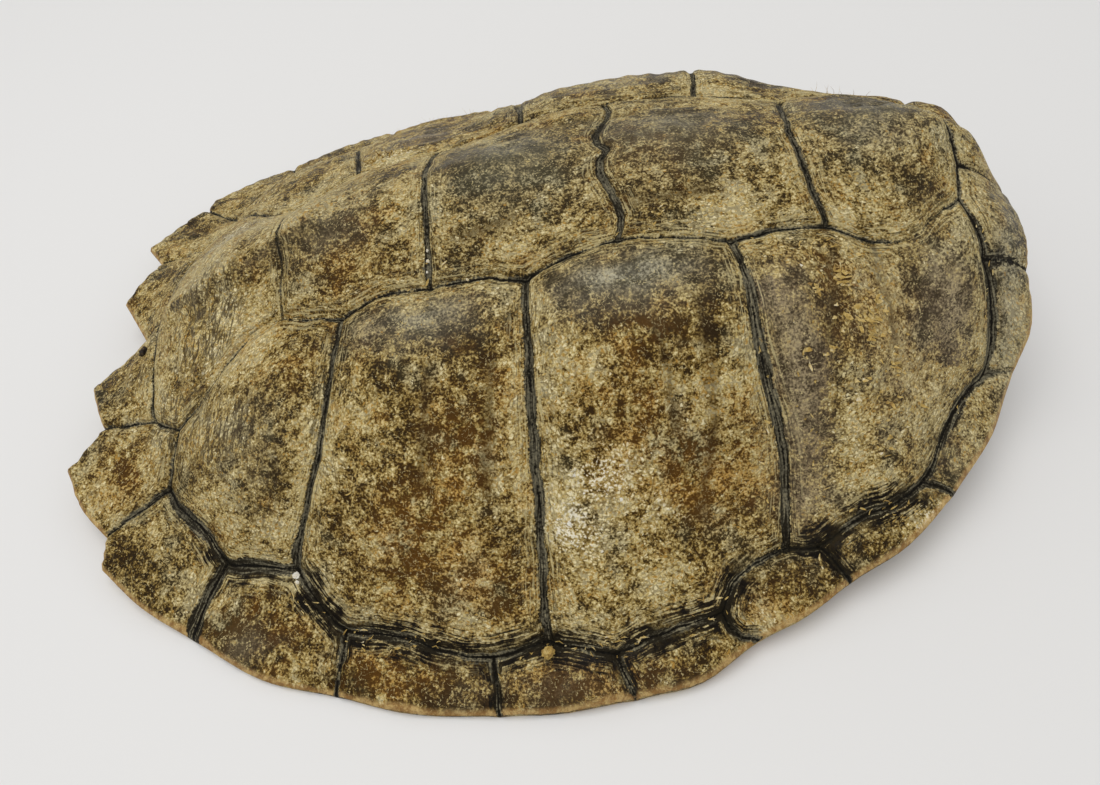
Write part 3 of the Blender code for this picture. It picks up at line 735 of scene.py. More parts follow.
# Where the finish changes over the shell: forward, left, reach along, reach across, strength.
STAINS = {
    "rust": (
        (44, -92, 13, 10, 0.9), (60, -92, 8, 8, 0.7), (28, -84, 11, 12, 0.6), (-22, -80, 12, 14, 0.7),
        (-36, -98, 16, 14, 0.9), (-9, -68, 9, 10, 0.5), (-46, -128, 18, 9, 0.8), (42, 0, 15, 11, 0.5),
        (-57, -19, 10, 9, 0.5), (-82, -38, 14, 8, 0.15), (-95, -112, 12, 8, 0.5), (-15, 84, 16, 14, 0.7),
        (46, 78, 14, 16, 0.6), (-60, 100, 14, 10, 0.5), (10, -136, 22, 6, 0.7), (34, -60, 10, 6, 0.7),
        (96, -54, 10, 9, 0.5), (86, -46, 7, 6, 0.8), (58, -120, 12, 6, 0.5), (-20, -112, 12, 8, 0.7),
        (-140, -58, 10, 12, 0.5),
    ),
    # Bleached horn, and on the far slope of the keel at the rear, painted light.
    "bleached": (
        (17, -91, 15, 9, 0.9), (7, -101, 9, 8, 1.0), (33, -98, 11, 7, 0.6), (8, -73, 10, 14, 0.4),
        (-108, 22, 18, 16, 0.8), (-92, 20, 16, 10, 0.6), (-128, -30, 12, 22, 0.2), (24, 96, 15, 10, 0.8),
        (-46, 84, 12, 12, 0.6), (-104, -34, 16, 14, 0.5), (-62, -86, 8, 18, 0.3), (120, -66, 9, 16, 0.1),
        (-46, 36, 20, 7, 0.6), (60, -28, 16, 6, 0.3), (92, -92, 14, 7, 0.1),
        (116, -101, 16, 7, 0.8), (150, -30, 5, 14, 0.4), (38, -78, 14, 12, 0.2),
    ),
    "polished": (
        (28, -46, 22, 9, 1.0), (-32, -43, 19, 8, 0.9), (76, -76, 11, 24, 1.0), (70, -57, 9, 14, 1.0),
        (74, -94, 10, 9, 0.8), (122, -50, 11, 20, 0.9), (98, -70, 12, 16, 0.5), (107, 6, 19, 15, 0.8),
        (48, 6, 22, 14, 0.8), (-3, 4, 20, 14, 0.8), (-62, -10, 14, 6, 0.6), (-88, -62, 9, 10, 0.3),
        (34, 48, 20, 9, 0.9), (-36, 46, 16, 9, 0.8), (80, 66, 12, 18, 0.8), (-2, -136, 30, 5, 0.4),
        (142, -44, 8, 20, 0.8), (-90, -119, 9, 5, 0.7), (116, -84, 12, 12, 0.6),
    ),
    # Browned horn, and painted shade: on the lower side of the last costal scute's boss, on the near side of
    # the keel's crease and between the loose scales on the front costal scute.
    "browned": (
        (-38, -96, 20, 24, 0.7), (-20, -60, 20, 8, 0.4), (48, -104, 20, 12, 0.9), (-2, -136, 40, 7, 1.4),
        (-48, -131, 22, 9, 1.8), (28, -56, 18, 9, 0.3), (-4, 2, 22, 20, 0.4), (44, 2, 24, 20, 0.4),
        (106, 0, 18, 14, 0.4), (-62, -12, 16, 6, 0.8), (-72, -48, 12, 12, 0.5), (-96, -114, 12, 9, 0.5),
        (-30, 98, 22, 22, 0.7), (50, 100, 22, 14, 0.6), (0, 136, 44, 7, 0.7), (-104, -16, 14, 5, 0.3),
        (42, -76, 3, 22, 0.3), (-12, -80, 3, 20, 0.5), (-84, -119, 20, 9, 1.3), (-130, -92, 12, 7, 0.6),
        (84, -98, 16, 8, 0.6), (-80, -47, 10, 6, 0.6), (147, -20, 6, 12, 0.5), (72, -70, 7, 22, 0.8),
        (-146, -32, 12, 14, 0.6), (122, -52, 10, 12, 0.5), (58, -112, 16, 9, 0.8), (-88, -70, 12, 16, 0.3),
        (93, -54, 7, 8, 0.5),
    ),
    "sooty": (
        (-38, -122, 34, 7, 1.0), (12, -130, 34, 6, 1.0), (48, -121, 18, 8, 1.0), (-68, -110, 12, 12, 1.0),
        (-92, -101, 14, 5, 0.7), (-110, -108, 5, 12, 0.6), (-106, -94, 8, 8, 0.7),
        (118, -84, 14, 10, 0.4), (100, -98, 16, 8, 0.8), (80, -107, 12, 6, 1.0),
        (-4, 130, 44, 6, 0.6), (72, 112, 34, 6, 0.6), (-74, 104, 18, 8, 0.5), (-42, -136, 4, 12, 0.9),
        (-19, -138, 3, 9, 0.8), (19, -138, 3, 8, 0.6), (136, 40, 6, 18, 0.4),
    ),
    "faint": (
        (-104, -40, 16, 9, 0.7), (-86, -20, 12, 22, 1.0), (-84, 12, 10, 24, 0.9),
        (118, -34, 10, 8, 0.6), (146, -14, 12, 8, 0.6), (146, -62, 12, 10, 0.5), (-134, -24, 6, 10, 0.3),
    ),
    "wide": (
        (-117, -86, 14, 14, 1.3), (-92, -101, 24, 9, 1.2), (-110, -110, 7, 12, 1.3), (-43, -135, 5, 12, 0.9),
        (-112, -78, 12, 8, 1.0), (-24, -96, 7, 26, 0.2), (3, -84, 6, 30, 0.5), (64, -78, 8, 34, 0.6),
        (-56, -84, 8, 30, 0.3),
        (-38, -121, 30, 5, 0.8), (12, -129, 30, 5, 0.8), (46, -121, 14, 6, 0.7), (100, -96, 20, 8, 0.8),
        (126, -72, 8, 14, 0.8), (135, -48, 6, 22, 1.0), (-124, -74, 8, 8, 0.5), (24, -6, 5, 18, 0.4),
        (-136, -70, 8, 6, 0.4), (14, -137, 4, 8, 0.5), (66, -116, 5, 8, 0.5),
    ),
    "olive": (
        (107, 2, 26, 26, 0.8), (46, 2, 30, 26, 0.9), (-3, 2, 28, 26, 1.0), (-60, 4, 22, 20, 0.7),
        (30, -45, 26, 10, 1.0), (-30, -43, 20, 9, 0.7), (112, -40, 20, 8, 0.2), (-108, 16, 22, 20, 0.5),
        (146, -44, 12, 34, 1.0), (150, -8, 8, 26, 1.0), (126, -84, 14, 12, 0.9), (98, -44, 14, 7, 0.5),
        (-88, -70, 12, 20, 0.4), (-96, -114, 10, 8, 0.5), (30, 60, 60, 20, 0.6),
    ),
    # Partly dusty worn horn and partly painted sheen on the tops of the scutes; on the keel's far slope at
    # the rear, painted light.
    "hazy": (
        (28, -45, 18, 4.5, 1.2), (-29, -42, 13, 4, 0.8), (-47, -44, 9, 4, 0.6), (72, -68, 8, 20, 0.9),
        (108, -62, 12, 16, 0.9), (124, -48, 9, 12, 0.8), (-108, 20, 18, 11, 1.0), (-126, 4, 12, 6, 0.7),
        (74, -94, 8, 8, 0.7), (107, -6, 12, 6, 0.5), (52, 12, 16, 5, 0.4), (-2, 14, 14, 5, 0.4),
        (-88, 10, 10, 8, 0.7), (144, -44, 8, 26, 1.1), (149, -6, 7, 16, 1.0), (34, 52, 16, 5, 0.6),
        (-30, 50, 14, 5, 0.5),
    ),
    # Paler horn; the spots on the far slope of the keel at the rear are painted light.
    "paled": (
        (-62, 12, 18, 12, 0.8), (-104, 62, 20, 12, 0.5), (8, -96, 14, 16, 0.4), (-100, 56, 20, 20, 0.5),
        (-108, 20, 22, 18, 0.9), (-106, -24, 20, 14, 1.0), (-60, -84, 10, 22, 0.4), (100, -68, 18, 20, 0.8),
        (-84, -72, 12, 16, 0.5), (-126, -30, 14, 20, 0.1), (120, -66, 9, 16, 0.2), (144, -44, 7, 24, 0.7),
        (138, -74, 8, 10, 0.6), (148, -10, 7, 20, 1.2), (34, -72, 14, 10, 0.3),
        (-40, 30, 26, 10, 0.5), (60, 30, 40, 10, 0.3), (28, -34, 60, 4, 0.3), (-141, -61, 12, 14, 0.8),
        (-82, -38, 12, 8, 0.1), (-57, -19, 12, 9, 0.4), (16, -74, 26, 10, 0.4), (-20, -74, 14, 10, 0.3),
    ),
}

# Where the horn has shrunk into wrinkles, in the same form.
WRINKLED = (
    (-108, -20, 16, 17, 1.0), (-98, -60, 16, 14, 0.7), (-118, -48, 14, 14, 0.8), (-106, 24, 14, 14, 0.5),
    (-96, 62, 14, 14, 0.6), (-84, -78, 10, 16, 0.5), (-142, -26, 9, 9, 0.5),
)

# Where the shell gapes or has cracked, in the same form.
GAPS = ((129, -2, 0.9, 3, 0.5), (110, 9, 4, 0.9, 0.6), (106, 12, 2, 1.0, 0.5))


def stain(x, y, spots):
    """How strongly the spots colour each point. Their edges wander."""
    x = x + 4.0 * wander(x, y, 9.0, 31.0)
    y = y + 4.0 * wander(x, y, 9.0, 37.0)
    total = np.zeros_like(x)
    for sx, sy, reach_x, reach_y, strength in spots:
        total = np.maximum(total, strength * np.exp(-(((x - sx) / reach_x) ** 2 + ((y - sy) / reach_y) ** 2)))
    return total


class Wire:
    """The output of a material's node. Arithmetic on it adds Math nodes."""

    def __init__(self, tree, socket=None):
        self.tree = tree
        self.socket = socket

    def node(self, kind, settings, inputs, output=None):
        """Adds a node: its settings first, then the values or wires of its sockets."""
        made = self.tree.nodes.new("ShaderNode" + kind)
        for name, value in settings.items():
            if name == "stops":
                ramp = made.color_ramp
                ramp.elements.remove(ramp.elements[1])
                ramp.elements[0].position, ramp.elements[0].color = value[0]
                for position, colour in value[1:]:
                    ramp.elements.new(position).color = colour
            else:
                setattr(made, name, value)
        sockets = {socket.identifier: socket for socket in made.inputs}
        for name, value in inputs.items():
            if isinstance(value, Wire):
                self.tree.links.new(value.socket, sockets[name])
            else:
                sockets[name].default_value = value
        outputs = {socket.identifier: socket for socket in made.outputs}
        return Wire(self.tree, outputs[output] if output else made.outputs[0])

    def math(self, operation, *values):
        return self.node("Math", {"operation": operation}, dict(zip(("Value", "Value_001"), values)))

    def __add__(self, other):
        return self.math("ADD", self, other)

    def __sub__(self, other):
        return self.math("SUBTRACT", self, other)

    def __rsub__(self, other):
        return self.math("SUBTRACT", other, self)

    def __mul__(self, other):
        return self.math("MULTIPLY", self, other)

    __radd__ = __add__
    __rmul__ = __mul__

    def least(self, other):
        return self.math("MINIMUM", self, other)

    def most(self, other):
        return self.math("MAXIMUM", self, other)

    def size(self):
        return self.math("ABSOLUTE", self)

    def rise(self, low, high):
        """0 where this is below low, 1 above high, with a smooth rise between."""
        return self.node(
            "MapRange", {"interpolation_type": "SMOOTHSTEP"},
            {"Value": self, "From Min": low, "From Max": high, "To Min": 0.0, "To Max": 1.0},
        )

    def fall(self, low, high):
        return 1 - self.rise(low, high)

    def blend(self, one, other):
        """The colour one where this is 0, and the other where it is 1."""
        inputs = {"Factor_Float": self, "A_Color": one, "B_Color": other}
        return self.node("Mix", {"data_type": "RGBA"}, inputs, "Result_Color")

    def scaled(self, factor):
        """This vector made that many times as long."""
        inputs = {"Vector": self, "Vector_001": (factor, factor, factor)}
        return self.node("VectorMath", {"operation": "MULTIPLY"}, inputs)

    def shifted(self, other):
        """This vector with another added to it."""
        return self.node("VectorMath", {"operation": "ADD"}, {"Vector": self, "Vector_001": other})

    def upward(self):
        """A vector that points straight up and is this long."""
        return self.node("CombineXYZ", {}, {"Z": self})

    def also(self, output):
        """Another output of the node that this one comes from."""
        return Wire(self.tree, self.socket.node.outputs[output])

    def feed(self, shader, socket):
        self.tree.links.new(self.socket, shader.inputs[socket])

    def noise(self, scale, detail, rough):
        """Noise in the places this vector gives, from about -0.5 to 0.5."""
        inputs = {"Vector": self, "Scale": scale, "Detail": detail, "Roughness": rough}
        return self.node("TexNoise", {}, inputs) - 0.5


def rgba(red, green, blue):
    return (red, green, blue, 1.0)


def new_finish(name):
    """A new material, its shader, a wire to build with and the surface's places in millimetres."""
    material = bpy.data.materials.new(name)
    material.use_nodes = True
    tree = material.node_tree
    wire = Wire(tree)
    place = wire.node("TexCoord", {}, {}, "Object").scaled(1 / MM)
    return material, tree.nodes["Principled BSDF"], wire, place


def attribute(wire, name):
    return wire.node("Attribute", {"attribute_name": name}, {}, "Fac")


def shell_finish():
    """Weathered horny scutes, with bare bone at the rim and underneath."""
    material, shader, wire, place = new_finish("weathered horn")
    along, across, marginal = (attribute(wire, name) for name in ("along", "across", "marginal"))
    rust, bleached, polished, browned, sooty, faint, wide, olive, hazy, paled = (
        attribute(wire, name) for name in STAINS
    )
    wrinkled, gap, growth, lee, crest, rim, bone = (
        attribute(wire, name) for name in ("wrinkled", "gap", "growth", "lee", "crest", "rim", "bone")
    )
    seam = along.least(across).least(marginal)

    # Everything on a scute is drawn out along its seams, which the third coordinate does here.
    flow = place.shifted((along * 0.7 - seam.fall(0.0, 9.0) * 4.0).upward())
    patchy = place.noise(0.05, 2.0, 0.6)
    mottle = place.noise(0.16, 3.0, 0.62)
    fine = flow.noise(0.32, 5.0, 0.74)
    grit = place.noise(1.35, 3.0, 0.6)
    blotch = fine + mottle
    hue = place.noise(0.075, 2.0, 0.68)
    warped = wire.node("VectorMath", {"operation": "MULTIPLY_ADD"}, {
        "Vector": place.node("TexNoise", {}, {"Vector": place, "Scale": 0.8, "Detail": 0.0}, "Color"),
        "Vector_001": (1.5, 1.5, 1.5), "Vector_002": flow,
    })
    flake = wire.node("TexVoronoi", {"feature": "F1"}, {"Vector": warped, "Scale": 0.9}, "Distance")
    chance = wire.node("SeparateColor", {}, {"Color": flake.also("Color")}, "Red")
    shade = chance.also("Green")

    # How thick the crust of tan flecks is, from none at 0 to closed at 1.
    lively = 1 - 0.3 * hazy.most(polished * 0.6).most(wrinkled)
    # Browning, which in places is painted shade, and bleaching and paling, which on the keel's far slope are
    # painted light, thin and thicken the crust.
    bare = 0.22 * polished + 0.08 * rust + 0.20 * browned - 0.22 * bleached - 0.24 * paled
    # The crust thins for the painted shade on the near side of the keel's crease and thickens for the painted
    # light on its far side.
    bare = bare + 0.26 * lee - 0.30 * crest - 0.1 * wrinkled
    crust = 0.47 + patchy * 1.5 + mottle - bare + seam.fall(2.0, 15.0) * 0.10 - olive * 0.04
    cover = crust + fine * 1.6
    crust = crust + 0.01 + (fine * 2.7 + grit * 2.1) * lively
    colour = crust.node("ValToRGB", {"stops": (
        (0.08, rgba(0.022, 0.011, 0.001)), (0.27, rgba(0.066, 0.037, 0.005)),
        (0.40, rgba(0.145, 0.089, 0.018)), (0.52, rgba(0.255, 0.170, 0.046)),
        (0.66, rgba(0.39, 0.284, 0.097)), (0.82, rgba(0.57, 0.440, 0.182)),
        (1.0, rgba(0.80, 0.68, 0.37)),
    )}, {"Fac": crust}, "Color")

    # Dull olive patches, golden ones where it has rusted, and tops worn smooth or hazy, the haze being partly
    # dusty worn horn and partly painted sheen.
    dull = crust.rise(0.2, 0.8).blend(rgba(0.040, 0.034, 0.012), rgba(0.42, 0.375, 0.225))
    colour = (hue.rise(0.02, 0.16) * 0.5 + olive * 0.55).least(0.85).blend(colour, dull)
    golden = crust.rise(0.25, 0.75).blend(rgba(0.11, 0.045, 0.003), rgba(0.56, 0.32, 0.075))
    redder = (rust * 1.3 + hue.fall(-0.18, -0.05) * 0.55).least(1.0)
    colour = (redder * blotch.fall(-0.06, 0.16) * 0.8).blend(colour, golden)
    worn = mottle + grit * 1.2 + fine * 0.8
    light = worn.rise(-0.3, 0.3)
    smooth = olive.blend(
        light.blend(rgba(0.050, 0.032, 0.011), rgba(0.27, 0.195, 0.110)),
        light.blend(rgba(0.060, 0.049, 0.020), rgba(0.25, 0.220, 0.125)),
    )
    # The dark smooth horn is also painted shade on the near side of the keel's crease.
    colour = (polished.most(lee * 0.9) * crust.fall(0.46, 0.62) * 0.8).blend(colour, smooth)
    # The pale haze paints the sheen on the tops of the scutes, and the light on the far side of the keel's
    # crease.
    dusty_sheen_colour = olive.blend(
        light.blend(rgba(0.18, 0.138, 0.070), rgba(0.55, 0.45, 0.26)),
        light.blend(rgba(0.17, 0.155, 0.095), rgba(0.54, 0.50, 0.35)),
    )
    colour = (hazy.most(crest * 0.8) * (worn + patchy).rise(-0.3, 0.2) * 0.62).blend(colour, dusty_sheen_colour)

    # Crisp little flakes where the crust is thick, and chalky ones where it has bleached, also on the far
    # slope of the keel, where the paleness is painted light.
    torn = flake + grit * 1.2 + fine * 0.5
    crusted = (cover * 2.2 - 0.80 - chance).rise(0.0, 0.08)
    ripe = shade + grit + hue + bleached * 0.3
    pale = ripe.node("ValToRGB", {"stops": (
        (0.1, rgba(0.42, 0.235, 0.045)), (0.4, rgba(0.47, 0.34, 0.110)), (0.7, rgba(0.62, 0.50, 0.22)),
        (1.0, rgba(0.86, 0.76, 0.47)),
    )}, {"Fac": ripe}, "Color")
    colour = (crusted * torn.rise(0.5, 0.62) * 0.5).blend(colour, rgba(0.075, 0.045, 0.012))
    colour = (crusted * torn.fall(0.36, 0.48) * (1 - 0.4 * hazy) * 0.85).blend(colour, pale)
    chalk = (fine * 1.2 + grit * 2.4 + bleached * 0.6 - flake * 0.5).rise(0.34, 0.46) * bleached
    colour = chalk.blend(colour, rgba(0.90, 0.84, 0.68))

    # Curled fibres, a net of fine cracks, and the wrinkles of shrunken horn.
    curl = warped.noise(0.3, 2.0, 0.6).size().fall(0.004, 0.012) * grit.rise(-0.08, 0.04)
    colour = (curl * 0.75).blend(colour, rgba(0.66, 0.54, 0.26))
    cells = {"Vector": warped, "Scale": 0.22}
    crazed = wire.node("TexVoronoi", {"feature": "DISTANCE_TO_EDGE"}, cells, "Distance")
    net = crazed.fall(0.0, 0.06) * (wrinkled * 0.8 + blotch.rise(0.0, 0.14) * 0.3) * (1 - polished)
    folds = {"Vector": place, "Rotation": (0.0, 0.0, math.radians(77.0)), "Scale": (26.0, 5.0, 12.0)}
    folds = wire.node("Mapping", {"vector_type": "TEXTURE"}, folds).noise(1.0, 4.0, 0.62) + grit * 0.04
    folds = folds.size().fall(0.008, 0.045).most((folds.size() - 0.13).size().fall(0.004, 0.03))
    net = net.most(folds * wrinkled.rise(0.1, 0.6)).most(growth * (fine + grit).rise(-0.15, 0.1) * 0.8)
    colour = (net * 0.85).least(0.85).blend(colour, rgba(0.055, 0.036, 0.016))

    # The layers of horn that show beside the seams, soot in the gutter, and the seams themselves:
    # charcoal bands with a black crack in them.
    layers = place.scaled(0.14).shifted((seam * 2.4).upward()).noise(0.8, 3.0, 0.65)
    wobble = grit * 2.6 + mottle * 3.0 + faint * 1.3 - wide * 2.0
    ragged = grit * 5.0 + fine * 9.0 + mottle * 6.0
    band = (along + wobble * 0.7).fall(0.4, 0.9).most((across + wobble * 0.8).fall(0.6, 1.2))
    band = band.most((marginal + wobble * 0.8).fall(0.5, 1.1))
    beside = along.least(marginal * 2.0) + ragged * 0.7 + layers * 16.0
    gutter = beside.fall(2.2, 6.2) * sooty.rise(0.1, 0.6)
    broken = blotch.rise(-0.12, 0.12)
    strata = (seam + wobble + fine * 6.0).fall(1.5, 7.0) * (1 - band) * rim.rise(4.0, 20.0)
    colour = (strata * layers.fall(-0.08, -0.03) * broken * 0.85).blend(colour, rgba(0.035, 0.027, 0.013))
    colour = (strata * layers.rise(0.05, 0.09) * 0.7).blend(colour, rgba(0.55, 0.46, 0.23))
    fibres = layers.rise(0.04, 0.09) * (grit + mottle).rise(-0.04, 0.08)
    sooted = blotch.rise(-0.1, 0.2).blend(rgba(0.005, 0.003, 0.001), rgba(0.030, 0.021, 0.009))
    colour = (gutter * (1 - fibres * 0.9)).blend(colour, sooted)
    charcoal = (layers * 1.6 + grit * 0.8 + patchy * 0.5 - sooty * 0.2).rise(-0.16, 0.16).blend(
        rgba(0.018, 0.014, 0.007), rgba(0.150, 0.134, 0.088)
    )
    streak = layers.rise(0.07, 0.11) * grit.rise(-0.05, 0.08)
    charcoal = (streak * 0.5).blend(charcoal, rgba(0.40, 0.34, 0.19))
    colour = band.blend(colour, charcoal)
    tight = wobble + wide * 1.7
    crack = (along + tight * 0.25).fall(0.1, 0.45).most((marginal + tight * 0.4).fall(0.1, 0.5))
    core = (across + tight * 0.4).fall(0.1, 0.5) * (mottle + patchy + fine * 0.6).rise(-0.1, 0.06)
    side = (across - 0.9 + wobble * 0.6).size().fall(0.1, 0.35) * (grit + mottle + fine).rise(-0.05, 0.1)
    crack = crack.most(core).most(side).most(gap.rise(0.2, 0.5))
    colour = crack.blend(colour, rgba(0.005, 0.004, 0.002))
    lip = (rim + wobble * 0.4).fall(0.3, 1.5) * (1 - band)
    edge = fine.rise(-0.1, 0.1).blend(rgba(0.36, 0.19, 0.055), rgba(0.66, 0.45, 0.18))
    colour = (lip * 0.8).blend(colour, edge)

    rough = 0.46 + 0.26 * crust.rise(0.42, 0.6) + 0.1 * band - 0.1 * polished
    height = (fine * 0.7 + grit * 0.55) * lively

    # Bare bone, from the rim's edge on and underneath.
    bony = (hue + fine * 0.4).rise(-0.15, 0.15).blend(rgba(0.42, 0.25, 0.085), rgba(0.60, 0.45, 0.21))
    bony = (grit + fine * 0.5).rise(0.06, 0.16).blend(bony, rgba(0.26, 0.17, 0.07))
    bared = (bone + fine * 0.6).rise(0.24, 0.36)
    colour = bared.blend(colour, bony)
    rough = rough * (1 - bared) + 0.62 * bared

    gloss = polished.most(hazy) * (1 - bared) * (1 - band) * 0.3 * crust.fall(0.45, 0.7)
    colour.feed(shader, "Base Color")
    rough.feed(shader, "Roughness")
    gloss.feed(shader, "Coat Weight")
    height.node("Bump", {}, {"Strength": 1.0, "Distance": MM, "Height": height}).feed(shader, "Normal")
    shader.inputs["Coat Roughness"].default_value = 0.3
    shader.inputs["Specular IOR Level"].default_value = 0.1
    return material


def crumb_finish():
    """Loose scales, fibres and crumbs of horn. Their tint runs from chalky at 0 to black at 1."""
    material, shader, wire, place = new_finish("flaking horn")
    grain = place.noise(0.55, 5.0, 0.7)
    tint = attribute(wire, "tint") + grain * 1.2
    colour = tint.node("ValToRGB", {"stops": (
        (0.05, rgba(0.80, 0.77, 0.68)), (0.3, rgba(0.64, 0.50, 0.22)), (0.5, rgba(0.50, 0.34, 0.09)),
        (0.72, rgba(0.27, 0.16, 0.05)), (0.9, rgba(0.020, 0.014, 0.008)),
    )}, {"Fac": tint}, "Color")
    colour.feed(shader, "Base Color")
    grain.node("Bump", {}, {"Strength": 0.6, "Distance": MM, "Height": grain}).feed(shader, "Normal")
    shader.inputs["Roughness"].default_value = 0.62
    shader.inputs["Specular IOR Level"].default_value = 0.25
    return material


# Loose scales and fibres: forward, left, reach along, reach across, how many, length, width,
# turned by (degrees), tint.
LOOSE = (
    (96, -59, 2.4, 4.0, 18, 3.1, 0.8, -65, 0.46), (90, -49, 2.8, 5.0, 16, 2.7, 0.8, -50, 0.46),
    (99, -54, 4, 4, 10, 2.2, 0.7, -30, 0.46), (84, -65, 0.6, 0.8, 4, 2.8, 0.9, -60, 0.44),
    (81, -52, 1.5, 2, 6, 2.2, 0.9, -60, 0.42), (104, -68, 8, 6, 18, 2.1, 0.7, -60, 0.46),
    (90, -62, 14, 14, 34, 1.7, 0.9, -60, 0.4),
    (76, -78, 2.5, 22, 16, 2.0, 0.5, 80, 0.36), (98, -80, 12, 8, 20, 2.0, 0.6, -40, 0.34),
    (64, -86, 2.5, 22, 22, 2.0, 0.5, 85, 0.38), (84, -38, 14, 2.5, 14, 2.0, 0.6, 10, 0.36),
    (-38, -121, 26, 4, 34, 1.9, 0.35, 8, 0.42), (12, -129, 26, 4, 30, 1.9, 0.35, 0, 0.42),
    (46, -121, 12, 4, 14, 1.9, 0.35, 20, 0.42), (100, -98, 14, 4, 18, 1.9, 0.35, 32, 0.42),
    (126, -74, 5, 12, 12, 1.5, 0.3, 60, 0.40), (137, -44, 3, 18, 12, 1.5, 0.3, 84, 0.40),
    (-70, -108, 8, 4, 10, 1.8, 0.4, -40, 0.42), (3, -92, 2.5, 24, 20, 1.6, 0.4, 85, 0.36),
    (-55, -82, 2.5, 22, 16, 1.6, 0.4, 85, 0.36), (-50, 38, 8, 3, 24, 3.6, 0.5, 20, 0.5),
    (12, -94, 12, 8, 16, 0.9, 0.6, 0, 0.1), (40, -28, 30, 3, 20, 2.0, 0.4, 5, 0.38),
    (-46, -30, 22, 4, 16, 2.0, 0.4, 14, 0.38),
)

# How much of its reach a cluster mostly fills.
SCATTER = 0.6

# Crumbs stuck to the shell: forward, left, width, height, tint.
CRUMBS = (
    (-2.0, -129.4, 3.6, 4.8, 0.52), (-75.6, -101.0, 2.1, 0.8, 0.1), (-75.0, -103.2, 1.3, 0.7, 0.12),
    (-29.0, -22.0, 0.9, 0.6, 0.1), (-29.0, -25.0, 1.1, 0.6, 0.1), (-29.5, -28.0, 0.8, 0.5, 0.1),
    (-17.0, -33.0, 1.0, 0.6, 0.1), (-141.0, -12.0, 4.0, 2.0, 0.95), (7.0, -100.0, 1.2, 0.6, 0.06),
    (22.0, -96.0, 1.0, 0.5, 0.06),
)


def laid_on(bm, ground, x, y, turn, tilt, sink):
    """Sets a small shape that lies flat at the origin down on the shell at x, y."""
    surface, middle = ground
    above = Vector((x - middle[0], y - middle[1], 1000.0)) * MM
    spot, normal, _, _ = surface.ray_cast(above, Vector((0, 0, -1)))
    if spot is None:
        bm.clear()
        return
    turned = normal.to_track_quat("Z", "Y").to_matrix().to_4x4()
    turned = turned @ Matrix.Rotation(turn, 4, "Z") @ Matrix.Rotation(tilt, 4, "Y")
    bmesh.ops.scale(bm, vec=(MM, MM, MM), verts=bm.verts)
    bmesh.ops.transform(bm, matrix=Matrix.Translation(spot - normal * sink * MM) @ turned, verts=bm.verts)


def scattered(dice, x, y, reach_x, reach_y):
    """A place that is mostly within the reaches of x, y."""
    return dice.gauss(x, reach_x * SCATTER), dice.gauss(y, reach_y * SCATTER)


def gathered(parts, name):
    """One piece from many small ones, each with its own tint."""
    mesh = bpy.data.meshes.new(name)
    whole = bmesh.new()
    key = whole.verts.layers.float.new("tint")
    for bm, tint in parts:
        scrap = bpy.data.meshes.new("scrap")
        bm.to_mesh(scrap)
        bm.free()
        first = len(whole.verts)
        whole.from_mesh(scrap)
        bpy.data.meshes.remove(scrap)
        whole.verts.ensure_lookup_table()
        for vert in whole.verts[first:]:
            vert[key] = tint
    for vert in whole.verts:
        vert.co = np.clip(vert.co, SOLID_LOW, SOLID_HIGH)
    whole.to_mesh(mesh)
    whole.free()
    mesh.materials.append(crumb_finish())
    return shown(name, mesh)


def scale_of_horn(length, width, dice):
    """A thin, torn and curled scale that lies on the origin."""
    bm = bmesh.new()
    bmesh.ops.create_cone(bm, cap_ends=True, cap_tris=True, segments=6, radius1=0.5, radius2=0.46, depth=0.12)
    curl = dice.uniform(0.3, 1.3) / length
    for vert in bm.verts:
        tear = 1 + 1.4 * noise.noise(vert.co * 3.4 + Vector((length * 9, width * 7, 0)))
        x, y = vert.co.x * length * tear, vert.co.y * width * tear * (1.1 - vert.co.x)
        vert.co = (x, y, vert.co.z + curl * x * x + 0.1 * y * y)
    return bm


def loose_scales(ground):
    """The torn scales and fibres that stand up from the horn."""
    dice = random.Random(7)
    parts = []
    for x, y, reach_x, reach_y, count, length, width, turn, tint in LOOSE:
        for _ in range(count):
            size = dice.uniform(0.5, 1.25)
            bm = scale_of_horn(length * size, width * dice.uniform(0.6, 1.3), dice)
            at = scattered(dice, x, y, reach_x, reach_y)
            turned = math.radians(turn + dice.gauss(0, 28))
            laid_on(bm, ground, *at, turned, math.radians(dice.uniform(-48, 6)), -0.1)
            parts.append((bm, tint + dice.uniform(-0.1, 0.2)))
    return gathered(parts, "scales")


# Fine hairs: forward, left, reach along, reach across, how many, length.
HAIRS = (
    (84, 92, 30, 12, 70, 4.5), (20, 112, 40, 12, 60, 3.0), (-40, 100, 20, 12, 24, 3.0),
    (110, 40, 10, 20, 16, 3.0),
)


def bristles(ground):
    """Fine hairs that stand on the left side's outer scutes."""
    dice = random.Random(5)
    parts = []
    for x, y, reach_x, reach_y, count, length in HAIRS:
        for _ in range(count):
            tall = length * dice.uniform(0.5, 1.4)
            bm = bmesh.new()
            bmesh.ops.create_cone(bm, cap_ends=True, segments=3, radius1=0.09, radius2=0.02, depth=tall)
            sides = [edge for edge in bm.edges if abs(edge.verts[0].co.z - edge.verts[1].co.z) > tall / 2]
            bmesh.ops.subdivide_edges(bm, edges=sides, cuts=4)
            bend = dice.uniform(0.3, 0.9) / tall
            for vert in bm.verts:
                up = vert.co.z + tall / 2
                vert.co = (vert.co.x + bend * up * up, vert.co.y, up * 0.85)
            at = scattered(dice, x, y, reach_x, reach_y)
            laid_on(bm, ground, *at, dice.uniform(0, 6.3), dice.uniform(-0.5, 0.5), 0.1)
            parts.append((bm, dice.uniform(0.3, 0.75)))
    return gathered(parts, "bristles")


